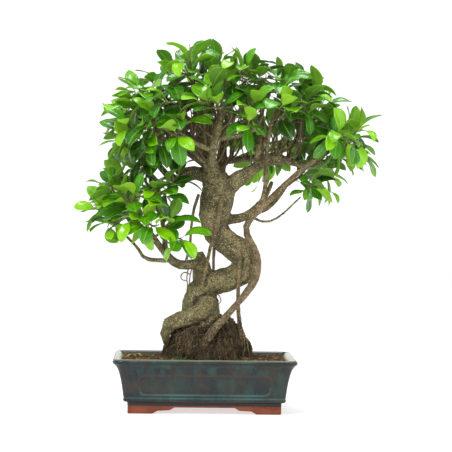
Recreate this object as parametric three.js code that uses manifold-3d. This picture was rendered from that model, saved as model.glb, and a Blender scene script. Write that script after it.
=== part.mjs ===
// A fig bonsai with an S-shaped trunk and aerial roots, in a rectangular footed pot.
// Millimetres, +Z up, the pot's long front facing -Y. The pot's centre is at x = 0, y = 0 while the
// pieces are made; the whole group is then moved so that its origin is under the middle of its box.
import * as THREE from "three";
import { mergeVertices } from "three/addons/utils/BufferGeometryUtils.js";
import Module from "manifold-3d";

const wasm = await Module();
wasm.setup();

// ---- Driving dimensions -------------------------------------------------------------------------

const GAP = 0.35; // left between pieces that touch
const JOIN_TOLERANCE = 0.02; // how far a join may move a point

const POT_LENGTH = 286; // over the rim
const POT_WIDTH = 209;
const POT_CORNER = 16; // corner radius of the rim
const CORNER_STEPS = 4;
const BASE_Z = 10; // underside of the pot's body
const FLOOR_Z = 19; // inside floor
// Each point is [distance in from the rim's outline, height].
const POT_OUTSIDE = [
  [25, BASE_Z], [24, 12], [23.6, 17], [20.5, 18.2], [17.8, 19.6], [17.2, 22.5], [17.6, 25], [16.6, 31],
  [15.2, 42], [12.4, 57], [9.8, 66], [6.8, 72], [3.2, 76.6], [0.7, 78.6], [0, 81], [0.9, 83.5], [3, 84.8],
];
const POT_INSIDE = [[8, 84.8], [11, 82.6], [14.5, 74], [20.5, 50], [24, 30], [27, FLOOR_Z]];
const FOOT_INSET = 24;
// Half of the arch between the feet: [distance from the middle, height].
const FRONT_ARCH = [[81, -1], [80.5, 0], [73, 4.5], [54, 5.5], [41, 13]];
const SIDE_ARCH = [[52, -1], [51.5, 0], [45, 4.5], [34, 5.5], [25, 13]];
const DRAIN_RADIUS = 12;
const DRAIN_X = 62;
const SCREEN_SIZE = 38;
const SCREEN_THICKNESS = 1.2;

const SOIL_EDGE_Z = 79; // height of the soil at the wall
const SOIL_RISE = 7; // how much higher it is in the middle
const SOIL_RINGS = [14.2, 30, 52, 76, 94]; // insets of its surface's rings of points
const MOUND_PROFILE = [
  [0, 66], [66, 66], [70, 80], [67, 95], [60, 112], [50, 130], [38, 143], [20, 150], [0, 152],
];
const MOUND_X = 3;
const MOUND_DEPTH = 0.88; // its depth over its length

// ---- Wood: every stem is a list of [x, y, z, radius] along its middle ------------------------------

const WOOD = {
  trunk: [
    [
      [-2, 2, 94, 38], [-3, 0, 120, 34.5], [-5, 0, 142, 33], [-7, 0, 162, 31], [-6, 0, 182, 28.5],
      [4, -1, 198, 22.5], [27, -3, 203, 18], [49, -4, 208, 18], [62, -4, 222, 20],
      [64, -2, 239, 21.5], [53, 0, 253, 21], [36, 1, 263, 20.5], [20, 2, 276, 21.5],
      [10, 0, 293, 23.5], [12, 0, 312, 25.5], [18, 0, 332, 26.5], [22, 0, 352, 25.5], [16, 1, 371, 17],
    ],
    [[1, 0, 186, 21], [-3, 0, 213, 17], [-7, 0, 232, 12], [-9, 0, 248, 5.5]],
    [
      [6, -10, 176, 16], [0, -25, 163, 16.5], [-13, -34, 152, 13.5], [-32, -36, 145, 11.5],
      [-50, -33, 139.5, 12.2], [-60, -28, 131, 12.3], [-62, -25, 118, 7.5], [-60, -20, 104, 4.5],
    ],
  ],
  crown_limb: [
    [[14, 0, 358, 20], [6, 2, 382, 14], [2, 4, 402, 10.5], [-4, 5, 424, 9.5], [-12, 5, 446, 8]],
    [[-11, 5, 442, 7], [-39, 3, 464, 6], [-56, 0, 480, 5], [-74, -6, 500, 3]],
    [[-12, 5, 444, 7], [-6, 2, 470, 6], [-4, 0, 495, 4.6], [-14, -5, 520, 2.6]],
    [[-3, 5, 420, 7], [12, 0, 448, 6], [28, -4, 478, 5], [44, -2, 508, 2.8]],
  ],
  right_limb: [
    [
      [20, 0, 345, 14], [39, -2, 356, 13.5], [56, -4, 368, 12.5], [72, -6, 380, 9.5],
      [91, -8, 391, 8], [111, -10, 398, 8.5], [130, -10, 394, 6], [154, -10, 388, 4.2],
      [184, -6, 394, 2.6],
    ],
    [[78, -8, 384, 5.5], [84, -10, 422, 4.6], [87, -8, 462, 3.8], [84, -2, 494, 2.6]],
    [[111, -10, 398, 6.5], [124, -2, 430, 5], [136, 4, 460, 4], [148, 4, 486, 2.6]],
  ],
  back_limb: [
    [[16, 16, 335, 13], [21, 42, 366, 10], [26, 66, 396, 8], [30, 82, 428, 5.6], [34, 78, 466, 3]],
    [[21, 44, 368, 6.5], [-8, 66, 392, 5], [-44, 78, 416, 3]],
    [[26, 64, 394, 6.5], [60, 76, 398, 5], [98, 70, 404, 3.6], [136, 56, 416, 2.6]],
  ],
  front_limb: [
    [[6, -6, 388, 8], [9, -32, 408, 6.6], [14, -54, 432, 5], [22, -62, 462, 2.8]],
    [[9, -32, 408, 5], [-22, -46, 422, 4], [-50, -52, 440, 2.6]],
    [[13, -48, 426, 4.6], [46, -60, 432, 3.8], [82, -62, 444, 2.6]],
  ],
  left_stub_limb: [
    [
      [4, 4, 368, 12.5], [-14, 10, 375, 11.2], [-30, 18, 371, 11], [-42, 24, 362, 9],
      [-58, 34, 368, 5.4], [-78, 46, 390, 4.2], [-90, 52, 424, 2.8],
    ],
  ],
  left_long_branch: [
    [
      [2, -6, 384, 5], [-15, -12, 401, 3.8], [-31, -16, 412, 3.4], [-66, -22, 426, 3.2],
      [-90, -26, 442, 2.8], [-102, -28, 454, 2.2],
    ],
    [[-48, -20, 420, 2.8], [-72, -12, 444, 2.5], [-92, -2, 472, 2]],
  ],
  low_left_branch: [
    [
      [-8, 0, 231, 9.5], [-24, -6, 229, 8], [-39, -12, 228, 7.6], [-53, -18, 235, 7],
      [-64, -24, 248, 5.7], [-76, -28, 262, 4.4], [-90, -32, 278, 3.4], [-112, -32, 300, 2.4],
    ],
    [[-54, -16, 236, 4.6], [-72, -8, 235, 3.6], [-97, 0, 239, 3.2], [-108, 2, 255, 2.6], [-132, 0, 278, 2]],
    [[-63, -23, 246, 4.8], [-66, -14, 282, 4.2], [-74, -8, 318, 3.4], [-84, -2, 350, 2.4]],
    [[-58, -18, 239, 4.4], [-74, 10, 262, 3.8], [-92, 34, 286, 2.4]],
  ],
  low_right_branch: [
    [
      [30, 6, 302, 9.5], [48, 14, 302, 8], [66, 20, 307, 7.2], [82, 24, 320, 6],
      [95, 29, 338, 4.6], [106, 34, 362, 3],
    ],
    [[72, 21, 312, 5.6], [96, 26, 318, 4.6], [112, 30, 332, 4], [130, 36, 356, 2.4]],
    [[68, 18, 308, 2.6], [90, 11, 298, 2], [106, 6, 300, 1.9], [122, 2, 311, 1.7], [150, -2, 338, 1.5]],
  ],
  right_aerial_root: [
    [
      [-4, -46, 97, 6], [2, -54, 112, 7.4], [18, -51, 134, 7], [34, -44, 151, 6], [49, -37, 168, 5.6],
      [64, -31, 186, 6], [76, -27, 203, 7], [81, -26, 221, 7.4], [81, -25, 239, 7.2], [76, -26, 256, 6.6],
      [68, -26, 271, 6], [63, -27, 285, 5.6], [68, -29, 300, 5.4], [84, -33, 317, 5.3],
      [104, -37, 338, 5], [130, -40, 364, 4.8], [156, -42, 386, 4.2], [196, -42, 412, 2.6],
    ],
    [
      [82, -32, 314, 4.4], [91, -33, 345, 3.6], [93, -34, 385, 3.2], [96, -36, 430, 2.8],
      [100, -38, 456, 2.2],
    ],
  ],
  thin_right_root: [
    [
      [34, -10, 284, 4.2], [45, -16, 275, 4.6], [52, -24, 261, 4], [54, -27, 241, 3.6], [53, -25, 219, 3.2],
      [52, -19, 190, 3],
      [52, -17, 166, 3.2], [54, -18, 143, 3.4], [57, -19, 118, 3.2], [58, -19, 98, 3],
    ],
  ],
  front_root: [
    [
      [26, -25, 340, 3.6], [22, -30, 321, 3.8], [18, -29, 297, 3.7], [13, -27, 275, 3.3], [7, -25, 256, 2.8],
      [4, -24, 240, 2.8], [0, -25, 221, 3], [-4, -26, 204, 3], [-9, -26, 184, 3],
    ],
  ],
  gap_root: [[[14, -2, 264, 2.8], [13, -3, 241, 2.5], [13, -8, 221, 2.5], [13, -17, 204, 2.5]]],
  left_root: [
    [
      [-12, -20, 340, 2.8], [-19, -17, 318, 2.5], [-23, -13, 288, 2.3], [-25, -12, 258, 2.2],
      [-30, -13, 238, 2.2], [-35, -16, 214, 2.2], [-38, -12, 192, 2.4],
    ],
  ],
};
const STEM_SIDES = [[14.5, 12], [6, 7], [0, 5]]; // [thicker than, sides]
const STEM_STEP = 1.5; // length of one step along a stem, over its mean radius
const SHORTEST_STEP = 12;
const LONGEST_STEP = 24;
const GNARL = 0.07; // share of the radius by which old wood swells and waists

// ---- Foliage: the limb that each leafy shoot grows on, and the end of its twig --------------------

const SHOOTS = [
  ["crown_limb", -30, -12, 528], ["crown_limb", 0, 24, 520], ["crown_limb", 36, -26, 518],
  ["crown_limb", 62, 14, 524], ["crown_limb", -58, 22, 508], ["crown_limb", -88, -6, 494],
  ["right_limb", 94, -22, 502], ["right_limb", 118, 30, 494], ["right_limb", 148, -10, 496],
  ["right_limb", 176, 14, 462], ["right_limb", 214, 6, 418], ["right_limb", 188, 34, 402],
  ["back_limb", 20, 92, 478], ["back_limb", 66, 92, 464], ["back_limb", -36, 96, 442],
  ["back_limb", 100, 100, 424], ["back_limb", 152, 72, 434],
  ["front_limb", 14, -78, 480], ["front_limb", -34, -76, 452], ["front_limb", 64, -84, 458],
  ["left_stub_limb", -110, 46, 444], ["left_stub_limb", -74, 74, 458],
  ["left_long_branch", -110, -20, 466], ["left_long_branch", -120, -46, 432],
  ["left_long_branch", -81, -58, 470], ["left_long_branch", -84, -52, 416],
  ["right_aerial_root", 198, -52, 434], ["right_aerial_root", 226, -38, 424],
  ["right_aerial_root", 130, -62, 470],
  ["low_right_branch", 152, 18, 372],
  ["low_left_branch", -148, -22, 326], ["low_left_branch", -140, 4, 294],
  ["low_left_branch", -128, -50, 346], ["low_left_branch", -122, 36, 344],
  ["low_left_branch", -94, -8, 378], ["low_left_branch", -96, -66, 306],
  ["low_left_branch", -60, -44, 350], ["low_left_branch", -56, -60, 298],
];
const CROWN_CENTRE = new THREE.Vector3(40, 0, 400); // leaves of the upper crown face away from it
const PAD_CENTRE = new THREE.Vector3(-70, 0, 280); // and those of the low left pad from this
const TWIG_RADIUS = 2.1;
const TWIG_END_RADIUS = 1.3;
const LEAVES_ON_TWIG = 6;
const LEAVES_ON_SIDE_TWIG = 4;
const FIRST_LEAF = 0.35; // share of the twig's length where its leaves begin
const FIRST_SIDE_LEAF = 0.45;
const LEAF_LENGTH = 50; // stalk and blade
const LEAF_WIDTH = 22;
const LEAF_THICKNESS = 1.4; // from the midrib to the line between the blade's widest points
const TURN = THREE.MathUtils.degToRad(137.5); // from one leaf to the next round the twig
const WIDEST_SPREAD = 1.9; // how far a leaf leans out from its twig: outward for each step forward
const END_SPREAD = 0.5;
const LEAF_DROOP = 0.3;
const LAST_LEAF = 0.96; // share of the twig's length where its end leaf grows
const YOUNG_LEAF = 0.8; // size of a twig's end leaf beside the others
const TWIG_SHAPE = { sides: 3, step: 27 };
const TWIG_SAG = 0.06;
const SIDE_TWIG_LENGTH = 38;
const SIDE_TWIG_STARTS = [0.42, 0.68]; // shares of the main twig's length
const SHOOT_SPACING = 11; // the least distance between the starts of two shoots
const MOST_TWIG_TRIES = 80;
const MOST_LEAF_TRIES = 14;

const random = THREE.MathUtils.seededRandom;
random(11);

// ---- Solids ---------------------------------------------------------------------------------------

function solid(geometry) {
  const bare = geometry.clone();
  bare.deleteAttribute("normal");
  bare.deleteAttribute("uv");
  const merged = mergeVertices(bare, 1e-3);
  return new wasm.Manifold(
    new wasm.Mesh({
      numProp: 3,
      vertProperties: merged.attributes.position.array,
      triVerts: new Uint32Array(merged.index.array),
    }),
  );
}

function geometryOf(body) {
  const { vertProperties, triVerts } = body.getMesh();
  const geometry = new THREE.BufferGeometry();
  geometry.setAttribute("position", new THREE.BufferAttribute(vertProperties, 3));
  geometry.setIndex(new THREE.BufferAttribute(triVerts, 1));
  geometry.computeVertexNormals();
  return geometry;
}

const join = (bodies) => bodies.reduce((whole, body) => whole.add(body)).simplify(JOIN_TOLERANCE);

const near = (a, b) => {
  const [p, q] = [a.boundingBox(), b.boundingBox()];
  return [0, 1, 2].every((axis) => p.min[axis] < q.max[axis] && q.min[axis] < p.max[axis]);
};

const touches = (a, b) => near(a, b) && a.intersect(b).volume() > 0;

// What is left of a body beside its neighbours, without the crumbs that the cut leaves.
function cutBack(body, neighbours) {
  const touching = neighbours.filter((other) => near(body, other));
  const left = touching.reduce((rest, other) => rest.subtract(other), body);
  return left.decompose().reduce((most, piece) => (piece.volume() > most.volume() ? piece : most));
}

function remap(geometry, place) {
  const position = geometry.attributes.position;
  const point = new THREE.Vector3();
  for (let i = 0; i < position.count; i += 1) {
    place(point.fromBufferAttribute(position, i));
    position.setXYZ(i, point.x, point.y, point.z);
  }
  return geometry;
}

// ---- Pot ------------------------------------------------------------------------------------------

const OUTLINE_STEPS = 4 * (CORNER_STEPS + 1);

// The point at a given step round the rim's outline, moved in by inset.
function outlinePoint(step, inset) {
  const corner = Math.floor(step / (CORNER_STEPS + 1)) % 4;
  const angle = (corner + (step % (CORNER_STEPS + 1)) / CORNER_STEPS) * (Math.PI / 2);
  const radius = Math.max(POT_CORNER - inset, 4);
  const side = [[1, 1], [-1, 1], [-1, -1], [1, -1]][corner];
  return new THREE.Vector2(
    side[0] * (POT_LENGTH / 2 - inset - radius) + radius * Math.cos(angle),
    side[1] * (POT_WIDTH / 2 - inset - radius) + radius * Math.sin(angle),
  );
}

// A closed body whose level sections are the rim's outline moved in. The profile's points are
// [inset, height], from the underside to the top, closed over both ends; height may be a function.
function rectangularLathe(profile, heightAt = (x, y, z) => z) {
  const lathe = new THREE.LatheGeometry(
    [[null, profile[0][1]], ...profile, [null, profile.at(-1)[1]]].map(
      ([inset], row) => new THREE.Vector2(inset === null ? 0 : 1, row),
    ),
    OUTLINE_STEPS,
  );
  return solid(
    remap(lathe, (p) => {
      const row = Math.round(p.y);
      const [inset, z] = profile[THREE.MathUtils.clamp(row - 1, 0, profile.length - 1)];
      const onAxis = row === 0 || row === profile.length + 1;
      const turns = (Math.atan2(-p.z, p.x) / (2 * Math.PI) + 1) % 1;
      const step = Math.round(turns * OUTLINE_STEPS) % OUTLINE_STEPS;
      const at = onAxis ? new THREE.Vector2() : outlinePoint(step, inset);
      p.set(at.x, at.y, heightAt(at.x, at.y, z));
    }),
  );
}

// The space under the pot between two feet: a prism along Y, or along X if turned.
function footArch(half, turned) {
  const outline = [...half, ...half.toReversed().map(([x, z]) => [-x, z])];
  const shape = new THREE.Shape(outline.map(([x, z]) => new THREE.Vector2(x, z)));
  const prism = new THREE.ExtrudeGeometry(shape, { depth: 2 * POT_LENGTH, bevelEnabled: false });
  prism.translate(0, 0, -POT_LENGTH).rotateX(Math.PI / 2);
  return solid(turned ? prism.rotateZ(Math.PI / 2) : prism);
}

function drainHole(x) {
  const plug = new THREE.CylinderGeometry(DRAIN_RADIUS, DRAIN_RADIUS, 4 * BASE_Z, 20);
  return solid(plug.rotateX(Math.PI / 2).translate(x, 0, BASE_Z));
}

function makePot() {
  const body = rectangularLathe([...POT_OUTSIDE, ...POT_INSIDE]);
  const feet = [footArch(FRONT_ARCH, false), footArch(SIDE_ARCH, true)].reduce(
    (slab, arch) => slab.subtract(arch),
    rectangularLathe([[FOOT_INSET, 0], [FOOT_INSET, BASE_Z + 2]]),
  );
  return [-DRAIN_X, DRAIN_X].reduce((pot, x) => pot.subtract(drainHole(x)), body.add(feet));
}

function drainScreen(x, spare = 0) {
  const size = SCREEN_SIZE + 2 * spare;
  const sheet = new THREE.BoxGeometry(size, size, SCREEN_THICKNESS + 2 * spare);
  return solid(sheet.translate(x, 0, FLOOR_Z + GAP + SCREEN_THICKNESS / 2));
}

// ---- Soil and root mound --------------------------------------------------------------------------

function soilTop(x, y) {
  const middle = Math.exp(-((x / 95) ** 2) - (y / 75) ** 2);
  const lumps = 1.1 * Math.sin(x / 8 + 1.3) * Math.cos(y / 10) + 0.8 * Math.sin(x / 19 - y / 13);
  return SOIL_EDGE_Z + SOIL_RISE * middle + lumps;
}

function makeSoil() {
  const side = POT_INSIDE.filter(([, z]) => z < SOIL_EDGE_Z).toReversed();
  const wall = side.map(([inset, z]) => [inset + GAP, z === FLOOR_Z ? z + GAP : z]);
  const top = SOIL_RINGS.map((inset) => [inset, SOIL_EDGE_Z]);
  return rectangularLathe([...wall, ...top], (x, y, z) => (z === SOIL_EDGE_Z ? soilTop(x, y) : z));
}

// With room to spare, it is the hollow that the soil leaves for it.
function makeMound(spare = 0) {
  const profile = MOUND_PROFILE.map(
    ([radius, z]) => new THREE.Vector2(radius && radius + spare, z + (radius ? 0 : spare)),
  );
  profile[0].y = MOUND_PROFILE[0][1] - spare;
  profile[1].y = MOUND_PROFILE[1][1] - spare;
  return solid(
    remap(new THREE.LatheGeometry(profile, 18).rotateX(Math.PI / 2), (p) => {
      const angle = Math.atan2(p.y, p.x);
      const swell = 1 + 0.06 * Math.sin(3 * angle + p.z / 14) + 0.04 * Math.sin(5 * angle + 1);
      p.set(p.x * swell + MOUND_X, p.y * swell * MOUND_DEPTH, p.z);
    }),
  );
}

// ---- Wood -----------------------------------------------------------------------------------------

function stemCurve(points) {
  const places = points.map(([x, y, z]) => new THREE.Vector3(x, y, z));
  return new THREE.CatmullRomCurve3(places, false, "centripetal");
}

const ringCount = (curve, step) => Math.max(1, Math.round(curve.getLength() / step));

// A closed round bar along a curve, thicker by spare, with its radius read from the points.
function stemSolid(points, { sides, step, gnarl = 0, spare = 0 }) {
  const curve = stemCurve(points);
  const rings = ringCount(curve, step);
  const { tangents, normals, binormals } = curve.computeFrenetFrames(rings);
  const radiusAt = (u) => {
    const along = curve.getUtoTmapping(u) * (points.length - 1);
    const from = Math.min(Math.floor(along), points.length - 2);
    return THREE.MathUtils.lerp(points[from][3], points[from + 1][3], along - from);
  };
  return solid(
    remap(new THREE.CylinderGeometry(1, 1, 1, sides, rings), (p) => {
      const u = p.y + 0.5;
      const ring = Math.round(u * rings);
      const angle = Math.atan2(p.x, p.z);
      const swell = 1 + gnarl * (Math.sin(2 * angle + 11 * u) + 0.8 * Math.sin(3 * angle - 23 * u));
      const radius = radiusAt(u) * swell + spare;
      const across = p.x * radius;
      const over = -p.z * radius;
      curve.getPointAt(u, p);
      p.addScaledVector(normals[ring], across).addScaledVector(binormals[ring], over);
      if (ring === 0) p.addScaledVector(tangents[ring], -spare);
      if (ring === rings) p.addScaledVector(tangents[ring], spare);
    }),
  );
}

// Stout stems have more sides and longer steps than thin ones.
function woodStem(points, spare) {
  const meanRadius = points.reduce((sum, point) => sum + point[3], 0) / points.length;
  const sides = STEM_SIDES.find(([least]) => points[0][3] > least)[1];
  const step = THREE.MathUtils.clamp(STEM_STEP * meanRadius, SHORTEST_STEP, LONGEST_STEP);
  return stemSolid(points, { sides, step, gnarl: GNARL, spare });
}

// ---- Foliage --------------------------------------------------------------------------------------

// A leaf blade and its stalk, as a flat four-faced kite whose upper edge is the midrib, from the
// twig to the tip. A share of its length can be left off at the twig, and spare makes it bigger.
function leafSolid(leaf, leftOff = 0, spare = 0) {
  const across = new THREE.Vector3().crossVectors(leaf.up, leaf.along);
  return solid(
    remap(new THREE.TetrahedronGeometry(1), (p) => {
      const onMidrib = p.z > 0;
      const midribEnd = p.x > 0 ? leaf.length + spare : leftOff * leaf.length - spare;
      const reach = onMidrib ? midribEnd : 0.5 * leaf.length;
      const side = onMidrib ? 0 : -Math.sign(p.x) * (leaf.width / 2 + spare);
      const height = onMidrib ? spare : -LEAF_THICKNESS - spare;
      p.copy(leaf.base).addScaledVector(leaf.along, reach);
      p.addScaledVector(across, side).addScaledVector(leaf.up, height);
    }),
  );
}

const jitter = (size) =>
  new THREE.Vector3(random() - 0.5, random() - 0.5, random() - 0.5).multiplyScalar(2 * size);

// The middle of a twig, whose bar is straight from each ring to the next.
function twigPoint(curve, u) {
  const rings = ringCount(curve, TWIG_SHAPE.step);
  const ring = Math.min(Math.floor(u * rings), rings - 1);
  return curve.getPointAt(ring / rings).lerp(curve.getPointAt((ring + 1) / rings), u * rings - ring);
}

// One leaf of a twig: turn is its place round the twig, u its place along it.
function leafOn(curve, u, turn, out, scale) {
  const base = twigPoint(curve, u);
  const forward = curve.getTangentAt(u);
  const aside = new THREE.Vector3(0, 0, 1).cross(forward).normalize();
  const above = new THREE.Vector3().crossVectors(forward, aside);
  const radial = aside.multiplyScalar(Math.cos(turn)).addScaledVector(above, Math.sin(turn));
  const spread = THREE.MathUtils.lerp(WIDEST_SPREAD, END_SPREAD, Math.max(0, (u - 0.5) / 0.5));
  const along = forward.clone().addScaledVector(radial, spread).addScaledVector(out, 0.25).add(jitter(0.3));
  along.z -= LEAF_DROOP;
  along.normalize();
  const up = new THREE.Vector3(0, 0, 0.7).addScaledVector(out, 0.6).add(jitter(0.5));
  up.addScaledVector(along, -up.dot(along)).normalize();
  const length = LEAF_LENGTH * scale * (0.88 + 0.24 * random());
  return { base, along, up, length, width: (LEAF_WIDTH / LEAF_LENGTH) * length };
}

const shootStarts = [];

const blocked = (body, others) => others.some((other) => touches(body, other));

// A twig between two places, bent until it is clear of everything but its host, and started just
// off the host's bark. It returns its curve and joins the shoot's own bodies.
function addTwig(shoot, from, to, radius, obstacles) {
  const [bark, others] = [true, false].map((isHost) =>
    obstacles.filter((other) => (other.owner === shoot.host) === isHost).map((other) => other.body),
  );
  for (let tries = 0; tries < MOST_TWIG_TRIES; tries += 1) {
    const end = to.clone().add(jitter(0.5 * tries));
    const middle = from.clone().lerp(end, 0.5).add(jitter(3 + 0.6 * tries));
    middle.z -= TWIG_SAG * from.distanceTo(end);
    const radii = [radius, (radius + TWIG_END_RADIUS) / 2, TWIG_END_RADIUS];
    const pointsFrom = (start) => [start, middle, end].map((p, i) => [p.x, p.y, p.z, radii[i]]);
    const start = from.clone();
    const outward = middle.clone().sub(from).normalize();
    while (blocked(stemSolid(pointsFrom(start), TWIG_SHAPE), bark)) start.addScaledVector(outward, GAP);
    if (blocked(stemSolid(pointsFrom(start), { ...TWIG_SHAPE, spare: 2 * GAP }), others)) continue;
    shoot.bodies.push(stemSolid(pointsFrom(start), TWIG_SHAPE));
    return stemCurve(pointsFrom(start));
  }
  return null;
}

// The bare twigs of one shoot: a main one from the nearest place on its limb, and two side ones.
function growTwigs(host, tip, obstacles) {
  const centre = host === "low_left_branch" ? PAD_CENTRE : CROWN_CENTRE;
  const shoot = { host, out: tip.clone().sub(centre).normalize(), bodies: [], twigs: [] };
  const start = WOOD[host]
    .map(stemCurve)
    .flatMap((curve) => curve.getSpacedPoints(30).slice(9))
    .filter((place) => shootStarts.every((other) => other.distanceTo(place) > SHOOT_SPACING))
    .reduce((best, place) => (place.distanceTo(tip) < best.distanceTo(tip) ? place : best));
  shootStarts.push(start);
  const main = addTwig(shoot, start, tip, TWIG_RADIUS, obstacles);
  if (!main) throw new Error(`no way for the twig on ${host} to ${tip.toArray()}`);
  shoot.twigs.push({ curve: main, leaves: LEAVES_ON_TWIG, first: FIRST_LEAF });
  SIDE_TWIG_STARTS.forEach((u, i) => {
    const forward = main.getTangentAt(u);
    const aside = forward.clone().cross(shoot.out).normalize().multiplyScalar(i ? -1 : 1);
    const way = aside.addScaledVector(forward, 0.5).addScaledVector(shoot.out, 0.4).normalize();
    const from = twigPoint(main, u);
    const to = from.clone().addScaledVector(way, SIDE_TWIG_LENGTH * (0.85 + 0.3 * random()));
    const curve = addTwig(shoot, from, to, TWIG_RADIUS * 0.75, obstacles);
    if (curve) shoot.twigs.push({ curve, leaves: LEAVES_ON_SIDE_TWIG, first: FIRST_SIDE_LEAF });
  });
  shoot.bodies.forEach((body) => obstacles.push({ body, owner: shoot }));
  return shoot;
}

// Puts the leaves on a shoot's twigs, each clear of the others and of every other shoot.
function growLeaves(shoot, obstacles) {
  const others = obstacles.filter((other) => other.owner !== shoot).map((other) => other.body);
  for (const { curve, leaves, first } of shoot.twigs) {
    let turn = 2 * Math.PI * random();
    for (let i = 0; i < leaves; i += 1) {
      const u = THREE.MathUtils.lerp(LAST_LEAF, first, i / leaves);
      for (let tries = 0; tries < MOST_LEAF_TRIES; tries += 1) {
        const leaf = leafOn(curve, u, turn + 0.5 * tries, shoot.out, i === 0 ? YOUNG_LEAF : 1);
        if (blocked(leafSolid(leaf, 0.3, 0.5), shoot.bodies)) continue;
        if (blocked(leafSolid(leaf, 0, 0.6), others)) continue;
        shoot.bodies.push(leafSolid(leaf));
        obstacles.push({ body: shoot.bodies.at(-1), owner: shoot });
        break;
      }
      turn += TURN;
    }
  }
  return join(shoot.bodies);
}

// ---- Things lying on the soil ---------------------------------------------------------------------

function fallenLeaf(x, y, length, heading) {
  const along = new THREE.Vector3(Math.cos(heading), Math.sin(heading), 0.12).normalize();
  const up = new THREE.Vector3(0, 0, 1).addScaledVector(along, -along.z).normalize();
  const base = new THREE.Vector3(x, y, soilTop(x, y) + 2.2);
  return leafSolid({ base, along, up, length, width: length * 0.45 });
}

function weedSprig(x, y) {
  const base = new THREE.Vector3(x, y, soilTop(x, y) + 1.2);
  const blades = [0, 1, 2, 3, 4].map((i) => {
    const heading = i * TURN;
    const along = new THREE.Vector3(Math.cos(heading), 0.6 * Math.sin(heading), 0.5).normalize();
    const up = new THREE.Vector3(0, 0, 1).addScaledVector(along, -along.z).normalize();
    return leafSolid({ base: base.clone().addScaledVector(along, -1), along, up, length: 13, width: 5 });
  });
  return join(blades);
}

// ---- Assembly -------------------------------------------------------------------------------------

const finish = (color, roughness) => new THREE.MeshStandardMaterial({ color, roughness, metalness: 0 });
const FINISHES = {
  glaze: finish(0x3c5555, 0.25),
  screen: finish(0x2c2c2c, 0.6),
  soil: finish(0x5a4330, 0.95),
  bark: finish(0x6e644b, 0.85),
  root: finish(0x6b5a42, 0.85),
  leaf: finish(0x3f8f22, 0.4),
  fallen: finish(0xc9a63a, 0.6),
  weed: finish(0x6aa53a, 0.6),
};

const group = new THREE.Group();

function addPiece(name, body, material) {
  const mesh = new THREE.Mesh(geometryOf(body), material);
  mesh.name = name;
  group.add(mesh);
}

addPiece("pot", makePot(), FINISHES.glaze);
addPiece("drain_screen_left", drainScreen(-DRAIN_X), FINISHES.screen);
addPiece("drain_screen_right", drainScreen(DRAIN_X), FINISHES.screen);

const obstacles = [];
const grownWood = [];
for (const name of Object.keys(WOOD)) {
  const body = cutBack(join(WOOD[name].map((points) => woodStem(points, 0))), grownWood);
  addPiece(name, body, name.endsWith("root") ? FINISHES.root : FINISHES.bark);
  const grown = WOOD[name].map((points) => woodStem(points, GAP));
  grownWood.push(...grown);
  grown.forEach((stem) => obstacles.push({ body: stem, owner: name }));
}

const mound = cutBack(makeMound(), grownWood);
addPiece("root_mound", mound, FINISHES.soil);
const screens = [-DRAIN_X, DRAIN_X].map((x) => drainScreen(x, GAP));
addPiece("soil", cutBack(makeSoil(), [makeMound(GAP), ...screens]), FINISHES.soil);

const shoots = SHOOTS.map(([host, x, y, z]) => growTwigs(host, new THREE.Vector3(x, y, z), obstacles));
shoots.forEach((shoot, i) => {
  addPiece(`leafy_shoot_${i + 1}`, growLeaves(shoot, obstacles), FINISHES.leaf);
});

addPiece("fallen_leaf_1", fallenLeaf(-124, -22, 17, 0.4), FINISHES.fallen);
addPiece("fallen_leaf_2", fallenLeaf(-100, 34, 15, 2.2), FINISHES.fallen);
addPiece("weed_sprig", weedSprig(-36, -80), FINISHES.weed);

const box = new THREE.Box3().setFromObject(group);
const middle = box.getCenter(new THREE.Vector3());
group.children.forEach((mesh) => mesh.geometry.translate(-middle.x, -middle.y, -box.min.z));

export default group;
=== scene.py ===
import itertools
import math
import random
from collections import namedtuple

import bpy
import numpy as np
from mathutils import Matrix, Vector, noise
from mathutils.bvhtree import BVHTree


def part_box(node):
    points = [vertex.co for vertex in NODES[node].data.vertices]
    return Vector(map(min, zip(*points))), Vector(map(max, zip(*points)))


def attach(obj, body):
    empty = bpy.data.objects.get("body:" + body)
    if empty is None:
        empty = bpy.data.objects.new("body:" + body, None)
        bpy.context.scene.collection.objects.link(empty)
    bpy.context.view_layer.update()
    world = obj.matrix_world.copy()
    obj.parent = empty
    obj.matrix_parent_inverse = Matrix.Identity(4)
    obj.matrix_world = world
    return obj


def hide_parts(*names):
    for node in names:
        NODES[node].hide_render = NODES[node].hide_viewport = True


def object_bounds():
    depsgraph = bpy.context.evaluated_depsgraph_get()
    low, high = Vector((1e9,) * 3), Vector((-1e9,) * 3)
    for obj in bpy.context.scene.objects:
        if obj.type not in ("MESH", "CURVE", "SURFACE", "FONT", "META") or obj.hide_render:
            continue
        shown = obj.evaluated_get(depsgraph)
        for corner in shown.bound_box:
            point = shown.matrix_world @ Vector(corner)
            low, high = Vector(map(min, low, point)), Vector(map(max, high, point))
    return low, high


# The looks of a fig bonsai in a footed glazed pot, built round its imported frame: metres, +Z up,
# the pot's long front facing -Y.

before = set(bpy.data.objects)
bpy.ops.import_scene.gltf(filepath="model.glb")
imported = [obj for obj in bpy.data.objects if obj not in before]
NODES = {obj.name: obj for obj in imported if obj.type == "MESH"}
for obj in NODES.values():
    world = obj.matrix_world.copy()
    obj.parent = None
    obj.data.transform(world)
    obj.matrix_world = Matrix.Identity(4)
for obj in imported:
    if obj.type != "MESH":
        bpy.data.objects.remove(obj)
CAD_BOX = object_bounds()
MM = 0.001

LIMBS = [
    "trunk", "crown_limb", "right_limb", "back_limb", "front_limb",
    "left_stub_limb", "left_long_branch", "low_left_branch", "low_right_branch",
]
AERIAL_ROOTS = ["right_aerial_root", "thin_right_root", "front_root", "gap_root", "left_root"]
SHOOTS = [name for name in NODES if name.startswith("leafy_shoot")]
SHOOTS.sort(key=lambda name: int(name.split("_")[-1]))

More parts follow.
